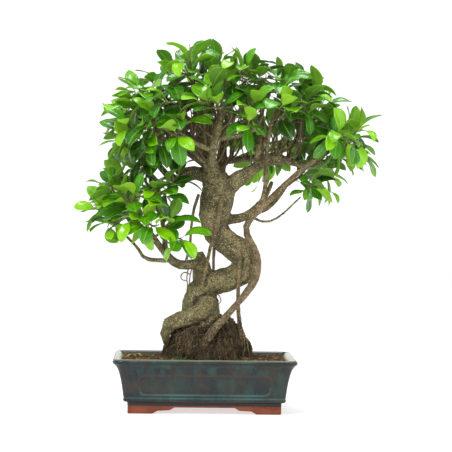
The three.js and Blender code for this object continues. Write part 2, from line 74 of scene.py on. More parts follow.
POT_LOW, POT_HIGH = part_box("pot")
POT_MIDDLE = (POT_LOW + POT_HIGH) / 2
SOIL_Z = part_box("soil")[1].z

rng = random.Random(7)


def by_pot(x, y, z):
    """A place, from millimetres off the pot's middle and above the ground."""
    return (x * MM + POT_MIDDLE.x, y * MM + POT_MIDDLE.y, z * MM)


def any_vector():
    return Vector((rng.gauss(0, 1), rng.gauss(0, 1), rng.gauss(0, 1)))


def shaken(low=-1, high=1):
    """A small vector off to any side, and from low to high upwards."""
    return Vector((rng.uniform(-1, 1), rng.uniform(-1, 1), rng.uniform(low, high)))


# ---- Meshes -----------------------------------------------------------------------------------------

def add_mesh(name, points, faces, materials, face_materials=None, smooth=True):
    """A new object from points in metres and faces by point number."""
    mesh = bpy.data.meshes.new(name)
    mesh.from_pydata(np.asarray(points).tolist(), [], faces)
    for material in materials:
        mesh.materials.append(material)
    if face_materials is not None:
        mesh.polygons.foreach_set("material_index", face_materials)
    mesh.polygons.foreach_set("use_smooth", [smooth] * len(mesh.polygons))
    mesh.update()
    obj = bpy.data.objects.new(name, mesh)
    bpy.context.scene.collection.objects.link(obj)
    return obj


def paint(obj, name, values):
    """A named number on every point of a piece, for its material to read."""
    layer = obj.data.attributes.new(name, "FLOAT", "POINT")
    layer.data.foreach_set("value", np.asarray(values, np.float32))


def keep(piece, nodes):
    """The piece rides on the one body and stands for its CAD nodes, which it hides."""
    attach(piece, "root")
    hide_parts(*nodes)
    return piece


def values_of(items, name, wide, kind=float):
    """One value of every item, a row of wide numbers each."""
    flat = np.empty(len(items) * wide, kind)
    items.foreach_get(name, flat)
    return flat.reshape(-1, wide)


def points_of(mesh):
    return values_of(mesh.vertices, "co", 3)


def normals_of(mesh):
    return values_of(mesh.vertex_normals, "vector", 3)


def edges_of(mesh):
    return values_of(mesh.edges, "vertices", 2, int)


def set_points(mesh, points):
    mesh.vertices.foreach_set("co", np.asarray(points, np.float32).ravel())
    mesh.update()


def welded(node):
    """The points and triangles of a CAD node, with points in the same place made one."""
    mesh = NODES[node].data
    points = points_of(mesh)
    rounded = np.round(points / (0.01 * MM))
    _, first, index = np.unique(rounded, axis=0, return_index=True, return_inverse=True)
    mesh.calc_loop_triangles()
    faces = index.reshape(-1)[values_of(mesh.loop_triangles, "vertices", 3, int)]
    whole = (faces[:, 0] != faces[:, 1]) & (faces[:, 1] != faces[:, 2]) & (faces[:, 0] != faces[:, 2])
    return points[first], faces[whole]


def averaged(values, edges, count):
    """The mean of each point's neighbours."""
    total = np.zeros((count, values.shape[1]))
    for a, b in ((0, 1), (1, 0)):
        for axis in range(values.shape[1]):
            total[:, axis] += np.bincount(edges[:, a], values[edges[:, b], axis], count)
    return total / np.maximum(np.bincount(edges.ravel(), minlength=count), 1)[:, None]


def smoothed(points, edges, rounds):
    """Taubin smoothing, which takes off corners and keeps the girth."""
    for _ in range(rounds):
        for share in (0.5, -0.52):
            points = points + share * (averaged(points, edges, len(points)) - points)
    return points


def lumps(points, size, octaves, seed=0.0):
    """Fractal noise about 0, whose largest lumps are size across."""
    offset = Vector((seed, 1.7 * seed, -seed))
    return np.array([noise.fractal(Vector(p) / size + offset, 0.9, 2.1, octaves) for p in points])


def ridges(points, size, seed=0.0):
    """Creases where cells meet: 0 in a crease, up to about 1 in the middle of a cell."""
    offset = Vector((seed, -seed, 2.3 * seed))
    found = (noise.voronoi(Vector(p) / size + offset)[0] for p in points)
    return np.array([near[1] - near[0] for near in found])


def ring_faces(rows, count):
    """The faces between rows of points, each row a closed ring of count points."""
    faces = []
    for row in range(rows - 1):
        for i in range(count):
            a, b = row * count + i, row * count + (i + 1) % count
            faces.append([a, b, b + count, a + count])
    return faces


def grid_rim(wide, tall):
    """The numbers of the points round the edge of a grid, which is wide points in a row."""
    rim = list(range(wide)) + [row * wide + wide - 1 for row in range(1, tall)]
    rim += [(tall - 1) * wide + i for i in range(wide - 2, -1, -1)]
    return rim + [row * wide for row in range(tall - 2, 0, -1)]


def tapered(thick, share, count):
    """Radii that lose that share of the thickness by the end."""
    return [thick * (1 - share * i / count) for i in range(count)]


def tube(centres, radii, sides, squash=1.0):
    """The points and faces of a closed round bar through the centres."""
    centres = np.asarray(centres, float)
    tangents = np.gradient(centres, axis=0)
    tangents /= np.linalg.norm(tangents, axis=1)[:, None] + 1e-12
    side = np.cross(tangents[0], [0.31, 0.52, 0.79])
    points = []
    for centre, tangent, radius in zip(centres, tangents, radii):
        side = side - tangent * (side @ tangent)
        side /= np.linalg.norm(side)
        over = np.cross(tangent, side)
        for i in range(sides):
            angle = 2 * math.pi * i / sides
            points.append(centre + radius * (math.cos(angle) * side + squash * math.sin(angle) * over))
    rows = len(centres)
    ends = [list(range(sides))[::-1], list(range((rows - 1) * sides, rows * sides))]
    return points, ends + ring_faces(rows, sides)


class Heap:
    """Gathers the points, faces, painted numbers and face materials of many small bodies."""

    def __init__(self):
        self.points, self.faces, self.slots, self.marks = [], [], [], {}

    def add(self, points, faces, slot=0, **marks):
        first = len(self.points)
        self.points.extend(points)
        self.faces.extend([[first + i for i in face] for face in faces])
        self.slots.extend([slot] * len(faces))
        for name, values in marks.items():
            values = values if hasattr(values, "__len__") else [values] * len(points)
            self.marks.setdefault(name, []).extend(values)

    def piece(self, name, materials, smooth=True):
        obj = add_mesh(name, self.points, self.faces, materials, self.slots, smooth)
        for mark, values in self.marks.items():
            paint(obj, mark, values)
        return obj


def through(points, step):
    """A smooth line through the points, with a point about every step."""
    points = [Vector(p) for p in points]
    if len(points) == 2:
        points.insert(1, (points[0] + points[1]) / 2)
    padded = [2 * points[0] - points[1], *points, 2 * points[-1] - points[-2]]
    line = []
    for a, b, c, d in zip(padded, padded[1:], padded[2:], padded[3:]):
        count = max(1, round((c - b).length / step))
        for i in range(count):
            t = i / count
            bend = (c - a) * t + (2 * a - 5 * b + 4 * c - d) * t**2 + (3 * b - a - 3 * c + d) * t**3
            line.append(b + bend / 2)
    return [*line, points[-1]]


# ---- Materials --------------------------------------------------------------------------------------

def tint(red, green, blue):
    """A colour from its 0 to 255 screen values."""
    values = (red, green, blue)
    return [((v / 255 + 0.055) / 1.055) ** 2.4 if v > 10 else v / 255 / 12.92 for v in values] + [1]


class Graph:
    """A material's nodes. An input is a number, a colour or another node's output."""

    def __init__(self, name, **settings):
        self.material = bpy.data.materials.new(name)
        self.material.use_nodes = True
        self.tree = self.material.node_tree
        self.shader = self.tree.nodes["Principled BSDF"]
        self.put(self.shader, settings)
        self.place = self.add("NewGeometry").outputs["Position"]

    def put(self, node, inputs):
        for key, value in inputs.items():
            key = key.replace("_", " ") if isinstance(key, str) else key
            if isinstance(value, bpy.types.NodeSocket):
                self.tree.links.new(value, node.inputs[key])
            else:
                node.inputs[key].default_value = value

    def add(self, kind, inputs=None, **settings):
        node = self.tree.nodes.new("ShaderNode" + kind)
        for key, value in settings.items():
            setattr(node, key, value)
        self.put(node, inputs or {})
        return node

    def maths(self, operation, *values):
        return self.add("Math", dict(enumerate(values)), operation=operation).outputs[0]

    def clamp(self, value, low, high, to_low=0.0, to_high=1.0):
        """The value from low to high, mapped on to_low to to_high and held there."""
        inputs = {"Value": value, "From Min": low, "From Max": high, "To Min": to_low, "To Max": to_high}
        return self.add("MapRange", inputs, interpolation_type="SMOOTHSTEP").outputs[0]

    def mix(self, share, a, b):
        return self.add("Mix", {0: share, 6: a, 7: b}, data_type="RGBA").outputs[2]

    def layers(self, under, *overs):
        """A colour with each (share, colour) laid over it in turn. Colours are 0 to 255 screen values."""
        colour = under if isinstance(under, bpy.types.NodeSocket) else tint(*under)
        for share, over in overs:
            colour = self.mix(share, colour, tint(*over))
        return colour

    def noise(self, size, detail=3.0, stretch=(1, 1, 1), rough=0.55):
        """Cloudy noise from 0 to 1 with lumps of that size in metres."""
        inputs = {"Scale": 1 / size, "Detail": detail, "Roughness": rough, "Vector": self.stretched(stretch)}
        return self.add("TexNoise", inputs).outputs[0]

    def cells(self, size, feature="F1", stretch=(1, 1, 1)):
        inputs = {"Scale": 1 / size, "Vector": self.stretched(stretch)}
        return self.add("TexVoronoi", inputs, feature=feature).outputs["Distance"]

    def stretched(self, stretch):
        if stretch == (1, 1, 1):
            return self.place
        return self.add("VectorMath", {0: self.place, 1: stretch}, operation="MULTIPLY").outputs[0]

    def mark(self, name):
        return self.add("Attribute", attribute_name=name).outputs["Fac"]

    def patches(self, size, detail, low=0.35, high=0.65, most=1.0, **settings):
        """Noise pulled apart into patches, from 0 to most."""
        return self.clamp(self.noise(size, detail, **settings), low, high, 0, most)

    def height(self):
        return self.add("SeparateXYZ", {0: self.place}).outputs["Z"]

    def bump(self, height, distance, strength=1.0):
        return self.add("Bump", {"Height": height, "Distance": distance, "Strength": strength}).outputs[0]

    def done(self, **inputs):
        self.put(self.shader, inputs)
        return self.material


def bark_material(name, light, dark, speck, green=0.0):
    """Rough bark with pale lenticels, which is a little green near the soil, and painted shade in its hollows
    and creases.
    """
    g = Graph(name)
    broad = g.noise(0.022, 4)
    fine = g.noise(0.003, 4, rough=0.75)
    lenticels = g.clamp(g.cells(0.0027, stretch=(1, 1, 1.3)), 0.15, 0.42, 1, 0)
    patchy = g.maths("MULTIPLY", lenticels, g.patches(0.007, 2, 0.34, 0.56))
    low = g.maths("MULTIPLY", g.clamp(g.height(), 0.26, 0.12, 0, green), g.patches(0.03, 3, 0.35, 0.6))
    colour = g.layers(
        dark,
        (g.clamp(broad, 0.35, 0.65), light),
        (g.patches(0.006, 3, 0.42, 0.68, 0.6, rough=0.65), [0.72 * v for v in dark]),
        (patchy, speck),
        (low, (92, 98, 48)),
        # painted shade: darker where the wood lies in a hollow or a crease
        (g.clamp(g.mark("hollow"), 0.0, 1.0), (56, 46, 32)),
        (g.clamp(fine, 0.47, 0.62, 0.0, 0.7), [0.55 * v for v in dark]),
    )
    relief = g.maths("ADD", g.maths("MULTIPLY", fine, 0.7), g.maths("MULTIPLY", patchy, 0.5))
    cracks = g.clamp(g.cells(0.0042, "DISTANCE_TO_EDGE", (1, 1, 1.8)), 0.0, 0.12)
    relief = g.maths("ADD", relief, g.maths("MULTIPLY", cracks, 0.2))
    rough = g.clamp(broad, 0.3, 0.7, 0.78, 0.95)
    return g.done(Base_Color=colour, Roughness=rough, Normal=g.bump(relief, 0.0011, 0.9))


def leaf_material(name, dark, mid, light, vein, rough, through_light, coat):
    """A side of a leaf, with its midrib, side veins and pale edge. Some light goes through it."""
    g = Graph(name, Coat_Weight=coat, Coat_Roughness=0.12)
    across, along, tone = g.mark("across"), g.mark("along"), g.mark("tone")
    side = g.maths("ABSOLUTE", across)
    cloud = g.noise(0.014, 3)
    shade = g.maths("ADD", tone, g.maths("MULTIPLY", g.maths("SUBTRACT", cloud, 0.5), 0.35))
    run = g.maths("SUBTRACT", g.maths("MULTIPLY", along, 21.0), g.maths("MULTIPLY", side, 3.2))
    ribs = g.clamp(g.maths("SINE", g.maths("MULTIPLY", run, 3.1416)), 0.86, 1.0)
    midrib = g.clamp(side, 0.03, 0.1, 1, 0)
    colour = g.layers(
        dark,
        (g.clamp(shade, 0.05, 0.55), mid),
        (g.clamp(shade, 0.5, 0.95), light),
        (g.maths("MULTIPLY", ribs, 0.22), vein),
        (g.maths("MULTIPLY", midrib, 0.6), vein),
        (g.maths("MULTIPLY", g.clamp(side, 0.93, 1.0), 0.35), vein),
    )
    relief = g.maths("ADD", g.maths("MULTIPLY", ribs, -0.5), g.maths("MULTIPLY", midrib, -1.0))
    relief = g.maths("ADD", relief, g.maths("MULTIPLY", g.noise(0.004, 2), 0.6))
    normal = g.bump(relief, 0.0005, 0.6)
    g.done(Base_Color=colour, Roughness=g.clamp(cloud, 0.3, 0.7, rough - 0.05, rough + 0.08), Normal=normal)
    glow = g.add("BsdfTranslucent", {"Color": g.mix(0.6, colour, tint(150, 215, 20))})
    both = g.add("MixShader", {0: through_light, 1: g.shader.outputs[0], 2: glow.outputs[0]})
    g.tree.links.new(both.outputs[0], g.tree.nodes["Material Output"].inputs["Surface"])
    return g.material


def twig_material():
    g = Graph("twig_bark")
    grain = g.noise(0.0012, 3, rough=0.7)
    colour = g.layers(
        (92, 74, 52),
        (g.patches(0.012, 2), (126, 108, 78)),
        (g.clamp(grain, 0.45, 0.7, 0, 0.6), (60, 48, 36)),
        (g.clamp(g.mark("young"), 0.0, 1.0), (112, 130, 52)),
    )
    return g.done(Base_Color=colour, Roughness=0.75, Normal=g.bump(grain, 0.0006, 0.8))


def stalk_material():
    g = Graph("leaf_stalk")
    colour = g.layers((118, 158, 60), (g.patches(0.004, 2), (150, 185, 80)))
    return g.done(Base_Color=colour, Roughness=0.5, Normal=g.bump(g.noise(0.001, 2), 0.0002, 0.5))


def glaze_material():
    """Dark slate glaze with brown and teal runs, thin on its edges and pooled in its corners, with painted
    shadow under its lip and low on its body above the feet.
    """
    g = Graph("glaze", Coat_Weight=0.2, Coat_Roughness=0.14, Specular_IOR_Level=0.32)
    height = g.height()
    streaks = g.noise(0.02, 5, (1, 1, 0.35), 0.6)
    cloud = g.noise(0.05, 4, (1, 1, 1.6))
    high = g.maths("MULTIPLY", g.clamp(height, 0.052, 0.07, 0.55, 1.0), g.clamp(streaks, 0.44, 0.7, 0, 0.85))
    thin = g.maths("MULTIPLY", g.mark("worn"), g.clamp(g.noise(0.012, 4), 0.3, 0.5, 0.55, 1.0))
    pooled = g.maths("MULTIPLY", g.clamp(g.mark("pooled"), 0.1, 1.0), g.clamp(cloud, 0.35, 0.6, 0.4, 0.85))
    colour = g.layers(
        (14, 24, 30),
        (g.clamp(cloud, 0.35, 0.65), (30, 39, 38)),
        (g.patches(0.034, 4, 0.44, 0.62, 0.8, stretch=(1, 1, 1.3)), (48, 41, 32)),
        (high, (36, 78, 70)),
        (g.patches(0.0022, 3, 0.5, 0.75, 0.5, rough=0.7), (30, 38, 40)),
        (g.clamp(thin, 0.1, 0.9, 0, 0.8), (58, 38, 28)),
        (pooled, (56, 104, 100)),
        (g.clamp(height, 0.0205, 0.0165, 0, 0.85), (50, 48, 38)),
        # painted shadow: near black under the rim's lip and low on the body above the feet
        (g.clamp(g.mark("dark"), 0.1, 1.0, 0, 0.85), (16, 20, 22)),
        (g.clamp(height, 0.0818, 0.0842, 0, 0.6), (128, 138, 122)),
    )
    relief = g.maths("ADD", g.noise(0.006, 3), g.maths("MULTIPLY", g.noise(0.0014, 2), 0.25))
    rough = g.clamp(streaks, 0.3, 0.7, 0.22, 0.36)
    return g.done(Base_Color=colour, Roughness=rough, Normal=g.bump(relief, 0.0005, 0.35))


def cream_material():
    """The pale glaze on the rim, stained, and dark on its outer edge."""
    g = Graph("glaze_rim", Coat_Weight=0.3, Coat_Roughness=0.2)
    colour = g.layers(
        (198, 200, 170),
        (g.patches(0.018, 4), (216, 218, 192)),
        (g.maths("MULTIPLY", g.patches(0.004, 4, 0.56, 0.7, rough=0.7), 0.55), (120, 112, 80)),
        (g.clamp(g.mark("outer"), 0.2, 0.8), (58, 72, 74)),
    )
    return g.done(Base_Color=colour, Roughness=0.35, Normal=g.bump(g.noise(0.005, 3), 0.0004, 0.3))


def terracotta_material():
    g = Graph("terracotta")
    grain = g.noise(0.0016, 4, rough=0.7)
    colour = g.layers(
        (112, 54, 32),
        (g.patches(0.016, 3), (132, 67, 42)),
        (g.clamp(grain, 0.5, 0.72, 0, 0.5), (90, 40, 26)),
    )
    return g.done(Base_Color=colour, Roughness=0.85, Normal=g.bump(grain, 0.0005, 0.7))


def earth_material(name, dark, mid, light):
    g = Graph(name)
    grain = g.noise(0.0018, 4, rough=0.75)
    colour = g.layers(
        dark,
        (g.patches(0.007, 4, rough=0.65), mid),
        (g.clamp(grain, 0.52, 0.72, 0, 0.7), light),
        (g.clamp(g.mark("tone"), 0.55, 1.0, 0, 0.8), light),
        (g.clamp(g.mark("tone"), 0.45, 0.0, 0, 0.8), [0.6 * v for v in dark]),
    )
    return g.done(Base_Color=colour, Roughness=0.95, Normal=g.bump(grain, 0.0009, 0.9))


def wire_material():
    g = Graph("screen_wire", Metallic=0.0)
    colour = g.layers((38, 38, 40), (g.patches(0.003, 3, 0.4, 0.6), (56, 56, 56)))
    return g.done(Base_Color=colour, Roughness=0.55, Normal=g.bump(g.noise(0.001, 2), 0.0002, 0.4))


def studio_material(name, dark, light, glow):
    """Matt pale paper that gives off a little light, so that it stays white behind the plant."""
    g = Graph(name, Emission_Color=tint(255, 255, 255), Emission_Strength=glow)
    return g.done(Base_Color=g.layers(dark, (g.noise(0.8, 2), light)), Roughness=0.95)


def fallen_material():
    g = Graph("fallen_leaf")
    side = g.maths("ABSOLUTE", g.mark("across"))
    colour = g.layers(
        (196, 160, 40),
        (g.patches(0.006, 3), (226, 200, 60)),
        (g.patches(0.003, 3, 0.58, 0.72), (130, 88, 40)),
        (g.clamp(side, 0.03, 0.1, 0.7, 0), (232, 214, 120)),
    )
    return g.done(Base_Color=colour, Roughness=0.6, Normal=g.bump(g.noise(0.002, 3), 0.0004, 0.6))


def weed_material():
    g = Graph("weed_green")
    colour = g.layers(
        (40, 70, 28),
        (g.clamp(g.mark("tone"), 0.0, 1.0), (88, 124, 48)),
        (g.patches(0.002, 2, 0.5, 0.7, 0.4), (48, 72, 30)),
    )
    return g.done(Base_Color=colour, Roughness=0.6, Normal=g.bump(g.noise(0.001, 2), 0.0002, 0.5))


BARK = bark_material("bark", (142, 131, 91), (92, 83, 52), (216, 204, 154), green=0.22)
ROOT_BARK = bark_material("root_bark", (142, 124, 90), (98, 82, 56), (196, 176, 130))
# Each side of a leaf has its dark, middle and light greens and its veins, then its roughness, the share of
# light that goes through, and its waxy coat.
LEAF_TOP = leaf_material(
    "leaf_top", (14, 66, 8), (70, 158, 0), (148, 220, 0), (172, 224, 70), 0.28, 0.25, 0.5
)
LEAF_UNDER = leaf_material(
    "leaf_under", (76, 126, 34), (114, 168, 40), (164, 218, 48), (182, 216, 108), 0.55, 0.24, 0.0
)
STALK = stalk_material()
TWIG = twig_material()
GLAZE = glaze_material()
CREAM = cream_material()
TERRACOTTA = terracotta_material()
SOIL = earth_material("soil", (62, 47, 30), (106, 82, 52), (166, 134, 90))
MOUND = earth_material("root_mass", (22, 18, 11), (42, 35, 22), (84, 71, 45))
ROOTLET = earth_material("rootlet", (40, 32, 20), (74, 61, 38), (134, 114, 76))
WIRE = wire_material()


# ---- Pot --------------------------------------------------------------------------------------------
# Sizes are in millimetres. A profile's places are (distance in from the rim's outline, height).

POT_LENGTH = 286
POT_WIDTH = 209
CORNER = 16
OUTSIDE = [
    (25, 9.9), (24.2, 11.6), (23.6, 13.5), (23.4, 16.6), (22.2, 17.8), (19.4, 18.7), (17.6, 20.2),
    (17.1, 22.4), (17.6, 25), (16.9, 30), (15.6, 40), (13.8, 51), (11.6, 60.5), (9.2, 68), (6.6, 72.6),
    (3.4, 76.2), (1.4, 77.8), (0.2, 79.4), (0.1, 81.4), (1.2, 83.6), (3.4, 84.9), (6.2, 84.9),
]
INSIDE = [(8.8, 84.1), (11, 82.2), (14.4, 74), (20.4, 50), (24, 30), (27, 20.4), (30, 19)]
# How far apart the skin's points are: along its outline, and up its outside and its inside.
POT_STEP = 1.25
OUTSIDE_STEP = 1.0
INSIDE_STEP = 6.0
CORNER_TURNS = 12
LEAST_CORNER = 4
GLAZED_ABOVE = 12.0
GLAZE_SLOT, CREAM_SLOT, BARE_SLOT = range(3)
# The raised line on each wall goes round a panel with this middle height, half sizes and corner.
PANEL_HALF_LENGTH = 103.5
PANEL_HALF_WIDTH = 66
PANEL_Z = 43
PANEL_HALF_HEIGHT = 16
PANEL_CORNER = 12
# Each arch is the height of the feet's underside at distances from the pot's middle.
FOOT_INSET = 24
FRONT_ARCH = ([0, 41, 54, 73, 80.5, 82], [13, 13, 5.5, 4.5, 0, 0])
SIDE_ARCH = ([0, 25, 34, 45, 51.5, 53], [13, 13, 5.5, 4.5, 0, 0])
FOOT_CORNER = 5.0
FOOT_BEVEL = 1.2
FEET_TOP = 12.0
FEET_COLUMNS, FEET_ROWS = 150, 104
SCREEN_WIRES = 13
WIRE_RADIUS = 0.28
DRAIN_X = 62
DRAIN_RADIUS = 12
DRAIN_TURNS = 48


def outline(step):
    """Marks round the rim: (corner, 0, angle) on a corner's arc, or (side, how far along it, None)."""
    marks = []
    for corner in range(4):
        arc = [(corner, 0, math.pi / 2 * (corner + i / CORNER_TURNS)) for i in range(CORNER_TURNS + 1)]
        side = (POT_WIDTH if corner % 2 else POT_LENGTH) - 2 * CORNER
        count = round(side / step)
        marks += arc + [(corner, i / count, None) for i in range(1, count)]
    return marks


def outline_points(marks, inset):
    """The places of the marks on an outline that is set in from the rim."""
    radius = max(CORNER - inset, LEAST_CORNER)
    across, deep = POT_LENGTH / 2 - inset - radius, POT_WIDTH / 2 - inset - radius
    sides = (
        ((across, deep + radius), (-across, deep + radius)),
        ((-across - radius, deep), (-across - radius, -deep)),
        ((-across, -deep - radius), (across, -deep - radius)),
        ((across + radius, -deep), (across + radius, deep)),
    )
    signs = ((1, 1), (-1, 1), (-1, -1), (1, -1))
    points = []
    for corner, share, angle in marks:
        if angle is None:
            (x0, y0), (x1, y1) = sides[corner]
            points.append((x0 + (x1 - x0) * share, y0 + (y1 - y0) * share))
        else:
            x, y = signs[corner]
            points.append((x * across + radius * math.cos(angle), y * deep + radius * math.sin(angle)))
    return points


def panel_distance(along, z, half_length):
    """How far outside the panel's rounded outline a place on a wall is; it is negative inside."""
    dx = abs(along) - (half_length - PANEL_CORNER)
    dz = abs(z - PANEL_Z) - (PANEL_HALF_HEIGHT - PANEL_CORNER)
    return math.hypot(max(dx, 0), max(dz, 0)) + min(max(dx, dz), 0) - PANEL_CORNER


def near(value, middle, spread):
    """1 where a value is at the middle, and less away from it."""
    return math.exp(-(((value - middle) / spread) ** 2))


def held(value):
    """The value, held between 0 and 1."""
    return max(0.0, min(1.0, value))


def wall_place(side_wall, inset, z, x, y):
    """A place on the pot's skin with its raised panel line, and the marks that its glaze reads there."""
    above = below = 0.0
    if side_wall and 24 < z < 68 and inset < 17.7:
        long_wall = abs(abs(y) - (POT_WIDTH / 2 - inset)) < 1e-6
        along, half = (x, PANEL_HALF_LENGTH) if long_wall else (y, PANEL_HALF_WIDTH)
        gap = panel_distance(along, z, half)
        sunk = 0.5 - 0.5 * math.tanh((gap + 1.5) / 1.2)
        rise = 0.8 * math.exp(-((gap / 1.5) ** 2)) - 0.35 * sunk
        above = near(gap, 0.4, 2.0) * (0.4 + 0.6 * (z > PANEL_Z))
        below = near(gap, -2.6, 1.6) * (z < PANEL_Z) * (0.5 + 0.5 * (z < PANEL_Z - 9))
        if long_wall:
            y += math.copysign(1, y) * rise
        else:
            x += math.copysign(1, x) * rise
    wobble = 0.35 * noise.noise(Vector((x, y, z)) / 38)
    lip = near(z, 81, 2.2) if inset < 3 else 0
    corner_edge = 0.55 * (not side_wall and 24 < z < 76 and inset < 18)
    over_back = held((z - 80.8) / 1.4) * held(y / 8 - 10)
    marks = {
        "worn": max(above, 0.15 * lip, corner_edge),
        "pooled": max(below, 0.9 * near(z, 24.4, 1.5) * (15 < inset < 18)),
        # painted shadow under the rim's lip and low on the body above the feet
        "dark": max(near(z, 79.2, 1.5) * (inset < 4), 0.9 * (z < 18 and inset > 18)),
        "outer": max(over_back, 0.6 * held((5.4 - inset) / 3) if z > 70 else 1.0),
    }
    return by_pot(x + wobble, y + wobble, z), marks


def make_pot():
    """The pot's skin inside and out, down to its floor and drain holes. Its feet are a piece of their own."""
    marks = outline(POT_STEP)
    outer = through([(inset, 0, z) for inset, z in OUTSIDE], OUTSIDE_STEP)
    inner = through([(inset, 0, z) for inset, z in INSIDE], INSIDE_STEP)
    rows = [(p.x, p.z) for p in [*outer, *inner]]
    placed = [
        wall_place(mark[2] is None, inset, z, x, y)
        for inset, z in rows
        for mark, (x, y) in zip(marks, outline_points(marks, inset))
    ]
    points = [place for place, _ in placed]
    top_row = max(range(len(rows)), key=lambda row: rows[row][1])
    slots = []
    for row in range(len(rows) - 1):
        outside_slot = BARE_SLOT if rows[row][1] < GLAZED_ABOVE else GLAZE_SLOT
        slots += [CREAM_SLOT if row >= top_row - 2 else outside_slot] * len(marks)
    faces = ring_faces(len(rows), len(marks))
    add_floor(points, faces, slots, len(marks), rows)
    pot = add_mesh("pot_shell", points, faces, [GLAZE, CREAM, TERRACOTTA], slots)
    for name in placed[0][1]:
        paint(pot, name, [found[name] for _, found in placed] + [0.0] * (len(points) - len(placed)))
    return pot


def add_floor(points, faces, slots, count, rows):
    """The pot's floor, inside and underneath, with its two drain holes between them."""
    low, high = rows[0][1], rows[-1][1]
    rings = {}
    for z in (low, high):
        for side in (-1, 1):
            rings[z, side] = len(points)
            for i in range(DRAIN_TURNS):
                angle = 2 * math.pi * i / DRAIN_TURNS
                x, y = side * DRAIN_X + DRAIN_RADIUS * math.cos(angle), DRAIN_RADIUS * math.sin(angle)
                points.append(by_pot(x, y, z))
    for side in (-1, 1):
        for i in range(DRAIN_TURNS):
            j = (i + 1) % DRAIN_TURNS
            below, above = rings[low, side], rings[high, side]
            faces.append([below + i, above + i, above + j, below + j])
            slots.append(BARE_SLOT)
    for z, first, up in ((low, 0, False), (high, (len(rows) - 1) * count, True)):
        outline_marks = range(first, first + count)
        for face in fan_floor(points, outline_marks, {side: rings[z, side] for side in (-1, 1)}):
            faces.append(face if up else face[::-1])
            slots.append(CREAM_SLOT if up else BARE_SLOT)


def fan_floor(points, marks, holes):
    """The faces between an outline and two round holes: each half of the outline goes to its own hole."""
    faces, halves = [], []
    for side, ring in holes.items():
        centre = POT_MIDDLE.x + side * DRAIN_X * MM

        def angle_of(index):
            return math.atan2(points[index][1] - POT_MIDDLE.y, points[index][0] - centre)

        half = [i for i in marks if (points[i][0] - POT_MIDDLE.x) * side >= 0]
        breaks = [k for k in range(1, len(half)) if half[k] - half[k - 1] > 1]
        if breaks:
            half = half[breaks[0]:] + half[:breaks[0]]
        begin = angle_of(half[0])
        nearest = min(range(DRAIN_TURNS), key=lambda k: turn_size(angle_of(ring + k) - begin))
        hole = [ring + (nearest + k) % DRAIN_TURNS for k in range(DRAIN_TURNS + 1)]
        span = (angle_of(half[-1]) - begin) % (2 * math.pi)
        steps = max(1, round(span / (2 * math.pi) * DRAIN_TURNS))
        i = j = 0
        last = len(half) - 1
        while i < last or j < steps:
            outer_share = ((angle_of(half[min(i + 1, last)]) - begin) % (2 * math.pi)) / span
            if i < last and (j >= steps or outer_share <= (j + 1) / steps):
                faces.append([half[i], half[i + 1], hole[j]])
                i += 1
            else:
                faces.append([half[i], hole[j + 1], hole[j]])
                j += 1
        halves.append((half[0], half[-1], hole[steps:]))
    (a_start, a_end, a_rest), (b_start, b_end, b_rest) = halves
    return [*faces, [a_end, b_start, *b_rest[::-1], b_end, a_start, *a_rest[::-1]]]


def turn_size(angle):
    """How large a turn is, the short way round."""
    return abs((angle + math.pi) % (2 * math.pi) - math.pi)


def make_feet():
    """The slab under the pot, arched away between its four feet."""
    length, width = POT_LENGTH - 2 * FOOT_INSET, POT_WIDTH - 2 * FOOT_INSET
    points = []
    for top in (False, True):
        for v in np.linspace(-1, 1, FEET_ROWS):
            for u in np.linspace(-1, 1, FEET_COLUMNS):
                x, y = u * length / 2, v * width / 2
                dx, dy = abs(x) - (length / 2 - FOOT_CORNER), abs(y) - (width / 2 - FOOT_CORNER)
                if dx > 0 and dy > 0:
                    reach = max(math.hypot(dx, dy), FOOT_CORNER)
                    x -= math.copysign(dx * (1 - FOOT_CORNER / reach), x)
                    y -= math.copysign(dy * (1 - FOOT_CORNER / reach), y)
                under = max(np.interp(abs(x), *FRONT_ARCH), np.interp(abs(y), *SIDE_ARCH))
                edge = min(length / 2 - abs(x), width / 2 - abs(y))
                lift = FOOT_BEVEL * max(0.0, 1 - edge / FOOT_BEVEL) ** 2
                points.append(by_pot(x, y, FEET_TOP if top else min(under + lift, FEET_TOP - 0.4)))
    faces = []
    size = FEET_COLUMNS * FEET_ROWS
    for j in range(FEET_ROWS - 1):
        for i in range(FEET_COLUMNS - 1):
            a = j * FEET_COLUMNS + i
            b = a + FEET_COLUMNS
            faces.append([a, b, b + 1, a + 1])
            faces.append([size + a, size + a + 1, size + b + 1, size + b])
    rim = grid_rim(FEET_COLUMNS, FEET_ROWS)
    faces += [[a, b, b + size, a + size] for a, b in zip(rim, rim[1:] + rim[:1])]
    return add_mesh("pot_feet", points, faces, [TERRACOTTA])


def make_screen(name, node):
    """Woven wires that keep the soil in over a drain hole."""
    low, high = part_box(node)
    middle, half = (low + high) / 2, (high.x - low.x) / 2
    heap = Heap()
    for crossing in (False, True):
        for i in range(SCREEN_WIRES):
            aside = half * (2 * i / (SCREEN_WIRES - 1) - 1) * 0.97
            line = []
            for k in range(4 * (SCREEN_WIRES - 1) + 1):
                reach = half * (k / (2 * (SCREEN_WIRES - 1)) - 1) * 0.97
                wave = 0.27 * MM * math.cos(math.pi * (k / 4 + i)) * (-1 if crossing else 1)
                place = (aside, reach) if crossing else (reach, aside)
                line.append((middle.x + place[0], middle.y + place[1], middle.z + wave))
            heap.add(*tube(line, [WIRE_RADIUS * MM] * len(line), 6))
    return keep(heap.piece(name, [WIRE]), [node])


# ---- Soil -------------------------------------------------------------------------------------------

